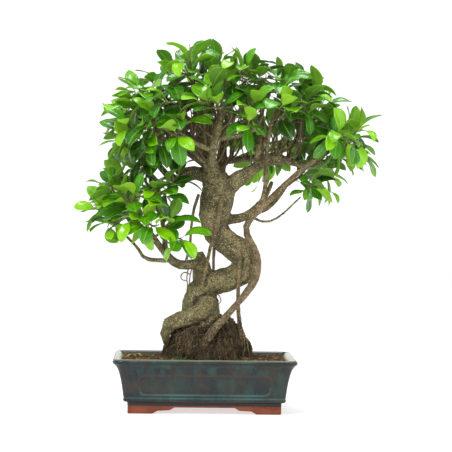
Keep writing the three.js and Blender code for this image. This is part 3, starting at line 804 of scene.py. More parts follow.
# The soil's side as a profile, then where its surface meets the pot, and where its grains end.
SOIL_SIDES = [(28, 20), (25, 30), (21.4, 50), (16.6, 70), (15, 76)]
SOIL_INSET = 13.8
GRAINS_INSET = 16
SOIL_RINGS = 44
SOIL_STEP = 3.0
SOIL_GRAINS = 5200
SOIL_FIBRES = 170
GRAIN_SIZES = (0.9, 1.2, 1.6, 2.2)
ROOTLET_RADII = (0.35, 0.45, 0.6)
SOIL_TREE, MOUND_TREE = (
    BVHTree.FromPolygons(*(found.tolist() for found in welded(node))) for node in ("soil", "root_mound")
)


def ground(x, y):
    """The height of the CAD soil, or of the root mound where that is higher."""
    start = Vector((x, y, SOIL_Z + 0.2))
    found = [tree.ray_cast(start, Vector((0, 0, -1)))[0] for tree in (SOIL_TREE, MOUND_TREE)]
    return max([hit.z for hit in found if hit is not None], default=SOIL_Z - 8 * MM)


GOLDEN = (1 + 5**0.5) / 2
GRAIN_CORNERS = [
    Vector(corner[i:] + corner[:i])
    for i in (0, 1, 2)
    for corner in [(0, a, b * GOLDEN) for a in (-1, 1) for b in (-1, 1)]
]


def grain_faces():
    """The 20 triangles of an icosahedron. Corners that share an edge are 2 apart."""
    faces = []
    for (i, a), (j, b), (k, c) in itertools.combinations(enumerate(GRAIN_CORNERS), 3):
        if max((a - b).length, (b - c).length, (a - c).length) < 2.1:
            outward = (b - a).cross(c - a).dot(a + b + c) > 0
            faces.append([i, j, k] if outward else [i, k, j])
    return faces


GRAIN_FACES = grain_faces()


def add_grain(heap, centre, size, shade=1.0):
    """One rough lump of earth."""
    turn = Matrix.Rotation(rng.uniform(0, 6.28), 3, Vector((rng.random(), rng.random(), 1)))
    stretch = Vector((rng.uniform(0.6, 1.1), rng.uniform(0.6, 1.1), rng.uniform(0.5, 0.9)))
    points = []
    for corner in GRAIN_CORNERS:
        p = turn @ (corner * rng.uniform(0.8, 1.15) * size / 1.9)
        points.append(centre + p * stretch)
    heap.add(points, GRAIN_FACES, tone=rng.random() * shade)


def make_soil():
    """The soil's surface, fine and rough, closed with its sides and underside against the pot."""
    marks = outline(SOIL_STEP)
    points = [by_pot(x, y, z) for inset, z in SOIL_SIDES for x, y in outline_points(marks, inset)]
    rim = [Vector((*p, 0)) for p in outline_points(marks, SOIL_INSET)]
    for ring in range(SOIL_RINGS):
        for p in rim:
            at = Vector((POT_MIDDLE.x, POT_MIDDLE.y, 0)) + p * (1 - ring / SOIL_RINGS) * MM
            here = (at.x, at.y, 0.0)
            rough = 1.5 * lumps([here], 0.012, 4, 3.0)[0] + 0.8 * lumps([here], 0.004, 2, 9.0)[0]
            base = SOIL_TREE.ray_cast(Vector((at.x, at.y, SOIL_Z + 0.1)), Vector((0, 0, -1)))[0]
            z = (base.z if base is not None else SOIL_Z - 9 * MM) + rough * MM
            points.append((at.x, at.y, z))
    count = len(marks)
    faces = ring_faces(len(SOIL_SIDES) + SOIL_RINGS, count)
    faces.append(list(range(len(points) - count, len(points))))
    faces.append(list(range(count))[::-1])
    heap = Heap()
    heap.add([Vector(p) for p in points], faces, tone=0.5)
    inside_x, inside_y = POT_LENGTH / 2 - GRAINS_INSET, POT_WIDTH / 2 - GRAINS_INSET
    for _ in range(SOIL_GRAINS):
        x, y, _ = by_pot(rng.uniform(-inside_x, inside_x), rng.uniform(-inside_y, inside_y), 0)
        size = rng.choice(GRAIN_SIZES) * MM * rng.uniform(0.7, 1.2)
        z = ground(x, y) + rng.uniform(-0.2, 0.5) * size
        add_grain(heap, Vector((x, y, z)), size)
    for _ in range(SOIL_FIBRES):
        add_fibre(heap, inside_x, inside_y)
    return keep(heap.piece("soil_surface", [SOIL], smooth=False), ["soil"])


def add_fibre(heap, inside_x, inside_y):
    """A short dead root or bit of bark lying on the soil."""
    x = rng.uniform(-inside_x, inside_x) * 0.93 * MM + POT_MIDDLE.x
    y = rng.uniform(-inside_y, inside_y) * 0.93 * MM + POT_MIDDLE.y
    heading = rng.uniform(0, 6.28)
    length = rng.uniform(6, 16) * MM
    line = []
    for _ in range(6):
        heading += rng.uniform(-0.4, 0.4)
        x += math.cos(heading) * length / 6
        y += math.sin(heading) * length / 6
        if abs(x - POT_MIDDLE.x) > inside_x * MM or abs(y - POT_MIDDLE.y) > inside_y * MM:
            break
        line.append((x, y, ground(x, y) + rng.uniform(0.4, 1.6) * MM))
    if len(line) > 2:
        thick = rng.uniform(0.3, 0.75) * MM
        heap.add(*tube(line, tapered(thick, 0.5, len(line)), 5, 0.7), tone=rng.uniform(0.5, 1.0))


# ---- Root mound -------------------------------------------------------------------------------------

SOIL_ROOTS = 210
SOIL_ROOTS_DEEP = 84 * MM
MOUND_ROOTS = 560
MOUND_GRAINS = 1500


def remeshed(name, bodies, voxel, swell):
    """Closed bodies, each swollen a little, melted into one fine skin."""
    heap = Heap()
    for points, faces in bodies:
        body = add_mesh("body", points, faces.tolist(), [])
        swollen = points_of(body.data) + swell * normals_of(body.data)
        heap.add([Vector(p) for p in swollen], faces.tolist())
        bpy.data.objects.remove(body)
    obj = heap.piece(name, [])
    melt = obj.modifiers.new("melt", "REMESH")
    melt.mode = "VOXEL"
    melt.voxel_size = voxel
    graph = bpy.context.evaluated_depsgraph_get()
    made = bpy.data.meshes.new_from_object(obj.evaluated_get(graph))
    obj.modifiers.clear()
    obj.data = made
    obj.data.polygons.foreach_set("use_smooth", [True] * len(made.polygons))
    return obj


def make_mound():
    obj = remeshed("root_mound_mass", [welded("root_mound")], 1.9 * MM, 0.2 * MM)
    mesh = obj.data
    points = smoothed(points_of(mesh), edges_of(mesh), 6)
    set_points(mesh, points)
    normals = normals_of(mesh)
    rough = 3.4 * lumps(points, 0.020, 4, 5.0) + 2.2 * lumps(points, 0.006, 3, 11.0)
    set_points(mesh, points + normals * (rough[:, None] * MM))
    mesh.materials.append(MOUND)
    # painted shade and light: the mound's tone follows its relief, darker in its dips and lighter on its
    # lumps
    paint(obj, "tone", np.clip(0.5 + 0.3 * rough, 0, 1))
    return keep(obj, ["root_mound"])


def surface_tree(objects):
    """One search tree over the faces of several pieces."""
    heap = Heap()
    for obj in objects:
        heap.add(points_of(obj.data).tolist(), [tuple(p.vertices) for p in obj.data.polygons])
    return BVHTree.FromPolygons(heap.points, heap.faces)


def any_side():
    """A level direction, to any side."""
    angle = rng.uniform(0, 2 * math.pi)
    return Vector((math.cos(angle), math.sin(angle), 0))


def add_rootlet(heap, line, thick, step):
    line = through(line, step)
    heap.add(*tube(line, tapered(thick, 0.55, len(line)), 6), tone=rng.uniform(0.2, 0.9))


def add_soil_root(heap, middle, half):
    """A fine root that wanders out over the soil from the foot of the mound."""
    out = any_side()
    reach = rng.uniform(0.86, 1.02)
    place = middle + Vector((out.x * half.x * reach, out.y * half.y * reach, 0))
    line = []
    for _ in range(rng.randrange(5, 12)):
        out = (out + Vector((rng.uniform(-1, 1), rng.uniform(-1, 1), 0)) * 0.35).normalized()
        place = place + out * 4 * MM
        if abs(place.y - POT_MIDDLE.y) > SOIL_ROOTS_DEEP:
            break
        line.append(Vector((place.x, place.y, ground(place.x, place.y) + rng.uniform(0.2, 1.6) * MM)))
    if len(line) > 3:
        add_rootlet(heap, line, rng.choice(ROOTLET_RADII) * MM, 2.5 * MM)


def add_mound_root(heap, tree, hit, out):
    """A fine root that creeps down over the mound, close to its skin, from where it was hit."""
    heading = (Vector((0, 0, -1)) + out.cross(Vector((0, 0, 1))) * rng.uniform(-1.1, 1.1)).normalized()
    thick = rng.choice((*ROOTLET_RADII, 0.95)) * MM
    lift = rng.uniform(0.1, 1.1) * thick + rng.choice((0, 0, 0, 1.2)) * MM
    line = []
    place = hit
    for _ in range(rng.randrange(8, 22)):
        place, normal, _, _ = tree.find_nearest(place)
        line.append(place + normal * lift)
        side = normal.cross(heading)
        heading = (heading + side * rng.uniform(-0.5, 0.5) + Vector((0, 0, -0.15))).normalized()
        heading = (heading - normal * heading.dot(normal)).normalized()
        place = place + heading * 3.2 * MM
        if place.z < SOIL_Z - 0.012:
            break
    if len(line) > 3:
        add_rootlet(heap, line, thick, 2.2 * MM)


def make_rootlets(mound, roots):
    """Fine roots that run down over the mound and the ends of the aerial roots, and out over the soil."""
    tree = surface_tree([mound, *roots])
    low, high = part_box("root_mound")
    middle = (low + high) / 2

    def met_from(out, z):
        """Where a look at the mound from outside meets it, and which way it faces there."""
        return tree.ray_cast(Vector((middle.x, middle.y, z)) + 0.2 * out, -out)[:2]

    heap = Heap()
    for _ in range(SOIL_ROOTS):
        add_soil_root(heap, middle, (high - low) / 2)
    for _ in range(MOUND_ROOTS):
        out = any_side()
        hit, _ = met_from(out, rng.uniform(SOIL_Z - 0.002, high.z - 0.012))
        if hit is not None:
            add_mound_root(heap, tree, hit, out)
    for _ in range(MOUND_GRAINS):
        out = any_side()
        hit, normal = met_from(out, rng.uniform(SOIL_Z - 0.004, high.z))
        if hit is not None:
            size = rng.uniform(0.7, 1.9) * MM
            add_grain(heap, hit + normal * 0.2 * size, size, 0.7)
    return keep(heap.piece("mound_rootlets", [ROOTLET]), ["root_mound"])


# ---- Wood -------------------------------------------------------------------------------------------

# Stems of the full girth and over have the whole of their relief, and thin twigs the least share of it.
GIRTH_MOST = 22 * MM
FULL_GIRTH = 20 * MM
LEAST_RELIEF = 0.06


def hollows(points, normals, edges):
    """How deep each point lies among those round it, in metres."""
    around = points
    for _ in range(5):
        around = averaged(around, edges, len(points))
    return np.einsum("ij,ij->i", around - points, normals)


def half_thickness(obj, points, normals, most):
    """About the radius of the stem under each point."""
    tree = surface_tree([obj])
    found = np.full(len(points), most)
    for i, (p, n) in enumerate(zip(points, normals)):
        inward = Vector(-n)
        hit = tree.ray_cast(Vector(p) + inward * 0.3 * MM, inward, 2 * most)
        if hit[3] is not None:
            found[i] = min(most, hit[3] / 2)
    return found


def make_wood(name, nodes, slot, material, voxel, swell, bumps):
    """Stems melted together, smoothed, and given relief that fits their girth, with painted shade marked in
    its hollows and creases. The bumps are how high its broad lumps, its middle lumps, its fine lumps and its
    creases are, in millimetres."""
    obj = remeshed(name, [welded(node) for node in nodes], voxel, swell)
    mesh = obj.data
    edges = edges_of(mesh)
    points = smoothed(points_of(mesh), edges, 9)
    set_points(mesh, points)
    normals = normals_of(mesh)
    girth = half_thickness(obj, points, normals, GIRTH_MOST)
    for _ in range(4):
        girth = averaged(girth[:, None], edges, len(points))[:, 0]
    share = np.clip(girth / FULL_GIRTH, LEAST_RELIEF, 1)
    broad = lumps(points, 0.030, 3, 2.0)
    middle = lumps(points, 0.009, 3, 7.0)
    fine = lumps(points, 0.0032, 2, 4.0)
    crease = np.clip(0.22 - ridges(points * [1, 1, 1.5], 0.011, 3.0), 0, 0.22) / 0.22
    height = share * (bumps[0] * broad + bumps[1] * middle) + np.sqrt(share) * bumps[2] * fine
    height -= share * bumps[3] * crease
    points = points + normals * (height[:, None] * MM)
    set_points(mesh, points)
    # Painted shade for the bark: the deeper a point lies in a hollow or crease, the darker.
    deep = hollows(points, normals_of(mesh), edges) / (0.35 * MM)
    paint(obj, "hollow", np.clip(0.45 * deep + 0.15 * crease * share, 0, 1))
    mesh.materials.append(material)
    return keep(obj, nodes)


def press_fold(obj, line):
    """Presses a crease into a piece's front, along a line that is given like FOLD, and paints shade into the
    crease.
    """
    path = through([(x * MM + POT_MIDDLE.x, 0, z * MM) for x, z in line], 1.0 * MM)
    path = np.array([(p.x, p.z) for p in path])
    points, normals = points_of(obj.data), normals_of(obj.data)
    facing = np.flatnonzero(normals[:, 1] < 0.1)
    gaps = np.linalg.norm(points[facing][:, None, [0, 2]] - path[None], axis=2).min(axis=1) / MM
    depth = np.exp(-((gaps / FOLD_WIDTH) ** 2))
    points[facing] -= normals[facing] * (FOLD_DEPTH * MM * depth)[:, None]
    set_points(obj.data, points)
    # painted shade: the pressed crease is darkened
    layer = obj.data.attributes["hollow"]
    hollow = values_of(layer.data, "value", 1, np.float32)[:, 0]
    hollow[facing] = np.clip(hollow[facing] + 0.75 * depth, 0, 1)
    layer.data.foreach_set("value", hollow)


# Where the surface root leaves the trunk, as (x, z) in millimetres from the pot's middle on the ground.
FOLD = [(-18, 170), (-12, 178), (-3, 183), (8, 183), (16, 179), (21, 172)]
FOLD_WIDTH, FOLD_DEPTH = 1.5, 1.7
# Thin loose roots, as places in millimetres from the pot's middle on the ground.
TENDRILS = (
    ((-25, -17, 214), (-32, -20, 217), (-38, -21, 213), (-37, -20, 206), (-28, -17, 203)),
    ((-21, -16, 224), (-24, -19, 212), (-25, -20, 198), (-23, -20, 182)),
    ((-27, -14, 222), (-29, -17, 208), (-28, -18, 194), (-30, -17, 176)),
    ((16, -20, 184), (22, -22, 181), (25, -22, 173), (20, -24, 166)),
    ((55, -20, 142), (60, -24, 128), (66, -27, 112), (69, -28, 96), (72, -28, 84)),
    ((56, -16, 150), (58, -24, 132), (62, -27, 114), (63, -28, 98), (60, -30, 86)),
)


def make_tendrils():
    heap = Heap()
    for places in TENDRILS:
        line = through([by_pot(*place) for place in places], 2 * MM)
        heap.add(*tube(line, np.linspace(1.0, 0.7, len(line)) * MM, 7), hollow=0.0)
    return keep(heap.piece("loose_roots", [ROOT_BARK]), ["thin_right_root", "left_root"])


# ---- Foliage ----------------------------------------------------------------------------------------

# A CAD leaf is a kite whose two sides hang by the drop. Its half is this many times as long as it is wide.
LEAF_SIDE_DROP = 1.4 * MM
LEAF_WIDTHS = (13 * MM, 27 * MM)
LEAF_FORMS = (1.12, 1.16)
# A modelled leaf: where its blade starts and ends along the CAD leaf, how wide half of it is, and the
# share of that width at places along it.
BLADE_START = 0.17
BLADE_END = 0.985
BLADE_HALF = 0.56
OUTLINE = (
    [0, 0.07, 0.16, 0.28, 0.42, 0.56, 0.69, 0.8, 0.89, 0.95, 1.0],
    [0.05, 0.28, 0.54, 0.79, 0.95, 1.0, 0.93, 0.76, 0.51, 0.26, 0.03],
)
ACROSS = [-1, -0.66, -0.3, 0, 0.3, 0.66, 1]
BLADE_THICK = 0.4 * MM
STALK_RADII = (0.85, 0.8, 0.68, 0.62, 0.6, 0.5, 0.3)
SIDE_TWIG_TRIES = 26
ADDED_LENGTHS = (34, 52)
# CAD points of a shoot's wood that are this near one another mark one knot of its twigs.
KNOT = 4.5 * MM
# A twig's radius in millimetres, from the number of places that it bears.
TWIG_LEAST, TWIG_GROWTH, TWIG_MOST = 0.8, 0.32, 2.3
# How far added twigs and leaves keep from the wood.
WOOD_GAP = 2.5 * MM
LEAF_GAP = 2.2 * MM
INNER_TWIGS = 130
INNER_TWIGS_ABOVE = 0.385
INNER_FORKS = 2
INNER_REACH = 0.88
LEAF_TOP_SLOT, LEAF_UNDER_SLOT, STALK_SLOT, TWIG_SLOT = range(4)

# Its base at the twig, its way along and its way up, its length and width, and its CAD points if it has any.
Leaf = namedtuple("Leaf", "base along up length width corners", defaults=[()])


def leaves_in(points, faces):
    """The leaves of a shoot, read from the flat undersides of its CAD kites."""
    found = []
    for face in faces:
        corners = [Vector(points[i]) for i in face]
        for turn in range(3):
            tip, a, b = corners[turn:] + corners[:turn]
            width = (a - b).length
            skew = abs((tip - a).length - (tip - b).length)
            if not LEAF_WIDTHS[0] < width < LEAF_WIDTHS[1] or skew > 0.05 * MM:
                continue
            middle = (a + b) / 2
            reach = (tip - middle).length
            if not LEAF_FORMS[0] < reach / width < LEAF_FORMS[1]:
                continue
            normal = (a - tip).cross(b - tip).normalized()
            slope = (tip - middle) / reach
            rise = LEAF_SIDE_DROP / reach
            level = math.sqrt(1 - rise**2)
            along = slope * level + normal * rise
            up = slope * rise - normal * level
            length = 2 * reach * level
            found.append(Leaf(tip - along * length, along, up, length, width, list(face)))
    return found


def tip_of(leaf):
    return leaf.base + leaf.along * leaf.length


def leaf_shape(leaf):
    """A blade's grid of (place, upward, across, along), and the line of its stalk. Each call draws a new
    fold, arch, curl, twist and wave."""
    base, along, up, length, width, _ = leaf
    across = up.cross(along)
    fold = rng.uniform(0.02, 0.34)
    arch = rng.uniform(0.04, 0.2)
    tip_curl = rng.uniform(0.0, 0.12)
    twist = rng.uniform(-0.35, 0.35)
    wave, phase = rng.uniform(0.0, 0.06), rng.uniform(0, 6.28)
    sway = rng.uniform(-0.07, 0.07)

    def middle(s):
        rise = arch * math.sin(math.pi * min(1, 0.15 + 0.85 * s)) - 4 * tip_curl * max(0, s - 0.55) ** 2
        rise = (rise - arch * 0.45) * length * min(1, s * 4)
        aside = sway * math.sin(math.pi * s) * length
        return base + along * (s * length * BLADE_END) + up * rise + across * aside

    rows = []
    for s, half in zip(*OUTLINE):
        at = BLADE_START + (1 - BLADE_START) * s
        centre = middle(at)
        ahead = (middle(min(1, at + 0.02)) - middle(at - 0.02)).normalized()
        side = (across - ahead * across.dot(ahead)).normalized()
        side = (side * math.cos(twist * s) + ahead.cross(side) * math.sin(twist * s)).normalized()
        over = side.cross(ahead)
        if over.dot(up) < 0:
            over = -over
        row = []
        for a in ACROSS:
            out = a * half * width * BLADE_HALF
            ripple = wave * width * math.sin(phase + 9 * s + (2 if a > 0 else 0)) * a * a
            place = centre + side * out * math.cos(fold * 0.5) + over * (fold * abs(out) + ripple)
            row.append((place, over, a, s))
        rows.append(row)
    stalk = [middle(BLADE_START * 0.25 * k) for k in range(6)]
    return rows, [stalk[0] - along * 0.8 * MM, *stalk], across.cross(along).dot(up) > 0


def add_leaf(heap, shape, tone, slots=(LEAF_TOP_SLOT, LEAF_UNDER_SLOT, STALK_SLOT)):
    """A thin closed blade, thinner at its edges, on a round stalk."""
    rows, stalk, flip = shape
    places, overs, across, along = zip(*(point for row in rows for point in row))
    bodies = [over * (BLADE_THICK * (0.55 if abs(a) == 1 else 1.0) / 2) for over, a in zip(overs, across)]
    top = [place + body for place, body in zip(places, bodies)]
    bottom = [place - body for place, body in zip(places, bodies)]
    wide, first = len(ACROSS), len(top)
    faces = []
    for r in range(len(rows) - 1):
        for c in range(wide - 1):
            a = r * wide + c
            quad = [a, a + 1, a + wide + 1, a + wide]
            faces.append(quad if flip else quad[::-1])
            faces.append([i + first for i in (quad[::-1] if flip else quad)])
    blade_slots = [slots[0], slots[1]] * (len(faces) // 2)
    rim = grid_rim(wide, len(rows))
    for a, b in zip(rim, rim[1:] + rim[:1]):
        quad = [b, a, a + first, b + first]
        faces.append(quad if flip else quad[::-1])
    blade_slots += [slots[1]] * len(rim)
    heap.add(top + bottom, faces, across=across * 2, along=along * 2, tone=tone, young=0.0)
    heap.slots[-len(faces):] = blade_slots
    stalk_body = tube(stalk, [r * MM for r in STALK_RADII], 6)
    heap.add(*stalk_body, slots[2], across=0.0, along=0.0, tone=tone, young=0.0)


def add_stem(heap, line, radii, young, sides):
    """A twig among a shoot's leaves."""
    marks = {"across": 0.0, "along": 0.0, "tone": 0.5, "young": np.repeat(young, sides)}
    heap.add(*tube(line, radii, sides), TWIG_SLOT, **marks)


class Space:
    """The small cubes of space that leaves already take."""

    NEAR = ((0, 0, 0), (1, 0, 0), (-1, 0, 0), (0, 1, 0), (0, -1, 0), (0, 0, 1), (0, 0, -1))

    def __init__(self, cube):
        self.cube = cube
        self.full = set()

    def key(self, place):
        return tuple(round(v / self.cube) for v in place)

    def crowded(self, places):
        cubes = (self.key(place) for place in places)
        return any((x + i, y + j, z + k) in self.full for x, y, z in cubes for i, j, k in self.NEAR)

    def fill(self, places):
        self.full.update(self.key(place) for place in places)


LEAF_SPACE = Space(2.7 * MM)


def blade_places(shape):
    """The points of a blade, without the end that is at its twig."""
    return [point[0] for row in shape[0][1:] for point in row]


def fitting_shape(leaf, tries):
    """A shape for a leaf that keeps clear of the leaves so far and of the wood, or None."""
    for _ in range(tries):
        shape = leaf_shape(leaf)
        places = blade_places(shape)
        if LEAF_SPACE.crowded(places):
            continue
        if any(tree.find_nearest(p, LEAF_GAP)[0] is not None for p in places[::3] for tree in WOOD_TREES):
            continue
        return shape
    return None


def spanning_tree(places):
    """Parents of a least tree over the places, grown from the first one."""
    count = len(places)
    parent = [0] * count
    distance = [(places[0] - p).length for p in places]
    inside = [i == 0 for i in range(count)]
    order = []
    for _ in range(count - 1):
        pick = min((i for i in range(count) if not inside[i]), key=lambda i: distance[i])
        inside[pick] = True
        order.append(pick)
        for i in range(count):
            gap = (places[pick] - places[i]).length
            if not inside[i] and gap < distance[i]:
                distance[i], parent[i] = gap, pick
    return parent, order


def add_twigs(heap, places, root_side):
    """Tapered twigs along the tree of places; each runs on through its heaviest child."""
    parent, order = spanning_tree(places)
    children = [[] for _ in places]
    for i in order:
        children[parent[i]].append(i)
    load = [1] * len(places)
    for i in reversed(order):
        load[parent[i]] += load[i]
    radius = [min(TWIG_MOST, TWIG_LEAST + TWIG_GROWTH * math.sqrt(n)) * MM for n in load]
    lines = []
    starts = [(None, 0)]
    while starts:
        before, i = starts.pop()
        line = [] if before is None else [before]
        line.append(i)
        while children[i]:
            ranked = sorted(children[i], key=lambda c: -load[c])
            starts += [(i, c) for c in ranked[1:]]
            i = ranked[0]
            line.append(i)
        points = [places[k] for k in line]
        widths = [radius[k] for k in line]
        if before is None:
            points.insert(0, root_side)
            widths.insert(0, widths[0] * 1.15)
        else:
            widths[0] = widths[1]
        end = points[-1] + (points[-1] - points[-2]).normalized() * 2.5 * MM
        points.append(end)
        widths.append(0.55 * MM)
        smooth = through(points, 3.0 * MM)
        lengths = np.cumsum([0] + [(b - a).length for a, b in zip(points, points[1:])])
        run = np.cumsum([0] + [(b - a).length for a, b in zip(smooth, smooth[1:])])
        radii = np.interp(run / run[-1] * lengths[-1], lengths, widths)
        knots = 1 + 0.1 * np.sin(run / (2.6 * MM) + rng.uniform(0, 6))
        young = np.clip(1.2 - radii / (1.25 * MM), 0, 1) * 0.8
        add_stem(heap, smooth, radii * knots, young, 7)
        lines.append(smooth)
    return lines


def bark_near(place):
    """The nearest place on the wood, its normal and its distance."""
    best = None
    for tree in WOOD_TREES:
        hit, normal, _, gap = tree.find_nearest(place)
        if hit is not None and (best is None or gap < best[2]):
            best = (hit, normal, gap)
    return best


def read_shoot(node):
    """A shoot's leaves, and the places that its twigs pass through, the first of them at its limb."""
    points, faces = welded(node)
    leaves = leaves_in(points, faces)
    bases = [leaf.base for leaf in leaves]
    tips = [tip_of(leaf) for leaf in leaves]
    leafy = {i for leaf in leaves for i in leaf.corners}
    wood = [Vector(p) for i, p in enumerate(points) if i not in leafy]
    wood = [p for p in wood if all((p - q).length > 1.5 * MM for q in tips)]
    clusters = []
    for p in wood:
        home = next((c for c in clusters if (c[0] / c[1] - p).length < KNOT), None)
        if home is None:
            clusters.append([p.copy(), 1])
        else:
            home[0] += p
            home[1] += 1
    middles = [c[0] / c[1] for c in clusters if c[1] >= 3]
    middles = [m for m in middles if all((m - q).length > KNOT for q in bases)]
    root = min(middles or bases, key=lambda p: bark_near(p)[2])
    others = [p for p in middles + bases if (p - root).length > 0.001 * MM]
    return {"node": node, "leaves": leaves, "places": [root, *others], "heap": Heap()}


# The middles and radii of the crown and of the low pad on the left, off the pot's middle on the ground.
CROWNS = (((0.045, 0.0, 0.415), (0.225, 0.13, 0.165)), ((-0.105, -0.01, 0.315), (0.09, 0.08, 0.09)))
# How far the leaves reach to the left and right of the pot's middle at each height, in millimetres.
REACH = np.array([
    (230, -60, 70), (265, -150, 75), (285, -178, 75), (305, -194, 130), (330, -186, 215), (365, -178, 190),
    (390, -155, 262), (405, -145, 284), (435, -160, 242), (480, -164, 220), (510, -142, 203),
    (535, -100, 190), (550, -100, 130), (560, -42, 88), (588, -38, 75),
])
# The crown is deepest at its middle height. Its front is open round the trunk's fork, an oval, and over the
# trunk under it.
REACH_DEEP, DEEPEST_Z, DEEP_HALF_HEIGHT = 148, 420, 200
OPEN_FRONT = 35
FORK_X, FORK_Z, FORK_HALF_WIDTH, FORK_HALF_HEIGHT = 40, 400, 120, 78
TRUNK_LEFT, TRUNK_RIGHT, TRUNK_TOP = -40, 90, 350


def openness(place):
    """How far out in the tree's crown or its low pad a place is: 1 at the outside."""
    reach = []
    for centre, radii in CROWNS:
        offset = place - POT_MIDDLE - Vector(centre)
        offset.z = place.z - centre[2]
        reach.append(math.sqrt(sum((o / r) ** 2 for o, r in zip(offset, radii))))
    return min(1.0, min(reach))


def wanted(place):
    """Whether an added leaf may stand there: in the crown's outline, and not where the trunk's fork shows."""
    x, y = (place.x - POT_MIDDLE.x) / MM, (place.y - POT_MIDDLE.y) / MM
    z = place.z / MM
    left, right = np.interp(z, REACH[:, 0], REACH[:, 1]), np.interp(z, REACH[:, 0], REACH[:, 2])
    deep = REACH_DEEP * math.sqrt(max(0.0, 1 - ((z - DEEPEST_Z) / DEEP_HALF_HEIGHT) ** 2))
    if not (left < x < right and abs(y) < deep and z < REACH[-1, 0]):
        return False
    fork = ((x - FORK_X) / FORK_HALF_WIDTH) ** 2 + ((z - FORK_Z) / FORK_HALF_HEIGHT) ** 2 < 1
    trunk = TRUNK_LEFT < x < TRUNK_RIGHT and z < TRUNK_TOP
    return not (y < OPEN_FRONT and (fork or trunk))


def tone_for(leaf):
    """Deep green inside and lime outside, most of all at the tips of twigs. Inside the crown the dark is
    partly the leaves' own colour and partly painted shade.
    """
    young = 0.2 if leaf.length < 45 * MM else 0.0
    tip = tip_of(leaf)
    young += 0.12 if tip.z < 0.36 else 0.0
    # openness paints shade on leaves deep in the crown; the rest is the leaves' own tone
    return max(0.0, min(1.0, rng.gauss(0.05 + 0.52 * openness(tip) ** 3 + young, 0.24)))


def extra_leaf(base, forward, out):
    """A leaf growing from a side twig, in the same form as those read from the CAD shoot."""
    aside = forward.cross(any_vector()).normalized()
    shake = shaken()
    along = forward * 0.8 + aside * rng.uniform(0.6, 1.6) + out * 0.2 + shake * 0.3
    along.z -= 0.3
    along.normalize()
    up = Vector((0, 0, 0.7)) + out * 0.6 + shaken() * 0.5
    up = (up - along * up.dot(along)).normalized()
    length = rng.uniform(*ADDED_LENGTHS) * MM
    return Leaf(base, along, up, length, length * rng.uniform(0.4, 0.5))


def leaves_for(twig, out):
    """Two to four leaves with room at the end of a twig and down its sides."""
    grown = []
    for share in (1.0, 0.85, 0.62, 0.4):
        n = min(len(twig) - 1, round(share * (len(twig) - 1)))
        ahead = (twig[n] - twig[n - 1]).normalized()
        for _ in range(5):
            leaf = extra_leaf(twig[n], ahead, out)
            shape = fitting_shape(leaf, 1) if wanted(tip_of(leaf)) else None
            if shape:
                LEAF_SPACE.fill(blade_places(shape))
                grown.append((leaf, shape))
                break
    return grown


def add_side_twigs(shoot, lines, tries):
    """Fills out a shoot with short leafy side twigs, wherever they have room."""
    heap = shoot["heap"]
    out = (shoot["places"][-1] - POT_MIDDLE - Vector((0, 0, 0.36))).normalized()
    for _ in range(tries):
        line = rng.choice(lines)
        k = rng.randrange(len(line) // 3, len(line) - 1)
        forward = (line[k + 1] - line[k]).normalized()
        aside = forward.cross(any_vector()).normalized()
        way = (forward * 0.5 + aside + out * 0.3).normalized()
        length = rng.uniform(12, 30) * MM
        bend = shaken(-1, 0.4) * 2.5 * MM
        twig = through([line[k], line[k] + way * length * 0.5 + bend, line[k] + way * length], 3 * MM)
        if not wanted(twig[-1]) or LEAF_SPACE.crowded(twig[2:]):
            continue
        if any(bark_near(p)[2] < WOOD_GAP for p in twig[2:]):
            continue
        grown = leaves_for(twig, out)
        if grown:
            radii = [(1.15 - 0.5 * i / len(twig)) * MM for i in range(len(twig))]
            add_stem(heap, twig, radii, np.linspace(0.2, 0.9, len(twig)), 6)
        for leaf, shape in grown:
            add_leaf(heap, shape, tone_for(leaf))


def random_way():
    return any_vector().normalized()


def make_inner_twigs(limbs):
    """The bare twigs that crowd the middle of the crown, each forking twice where it has room."""
    points, normals = points_of(limbs.data), normals_of(limbs.data)
    high = np.flatnonzero(points[:, 2] > INNER_TWIGS_ABOVE).tolist()
    heap = Heap()
    for _ in range(INNER_TWIGS):
        i = rng.choice(high)
        starts = [(Vector(points[i]), Vector(normals[i]), rng.uniform(1.2, 2.0) * MM, INNER_FORKS)]
        while starts:
            place, out, thick, forks = starts.pop()
            x, y = place.x - POT_MIDDLE.x - 0.02, place.y - POT_MIDDLE.y
            lean = Vector((x / 0.2, y / 0.2, 0.9))
            way = (out * 0.8 + lean + random_way() * 0.3).normalized()
            line = [place - out * 0.8 * MM]
            for step in range(rng.randrange(6, 13)):
                way = (way + random_way() * 0.22 + Vector((0, 0, 0.06))).normalized()
                place = place + way * 7 * MM
                touching = step > 1 and bark_near(place)[2] < WOOD_GAP
                if LEAF_SPACE.crowded([place]) or touching or openness(place) > INNER_REACH:
                    break
                line.append(place)
            if len(line) < 5:
                continue
            smooth = through(line, 3.5 * MM)
            radii = np.linspace(thick, 0.6 * thick, len(smooth))
            heap.add(*tube(smooth, radii, 7), young=0.0)
            if forks:
                at = rng.randrange(2, len(line) - 1)
                starts.append((line[at], random_way(), 0.65 * thick, forks - 1))
    return keep(heap.piece("inner_twigs", [TWIG]), ["crown_limb", "right_limb", "back_limb"])


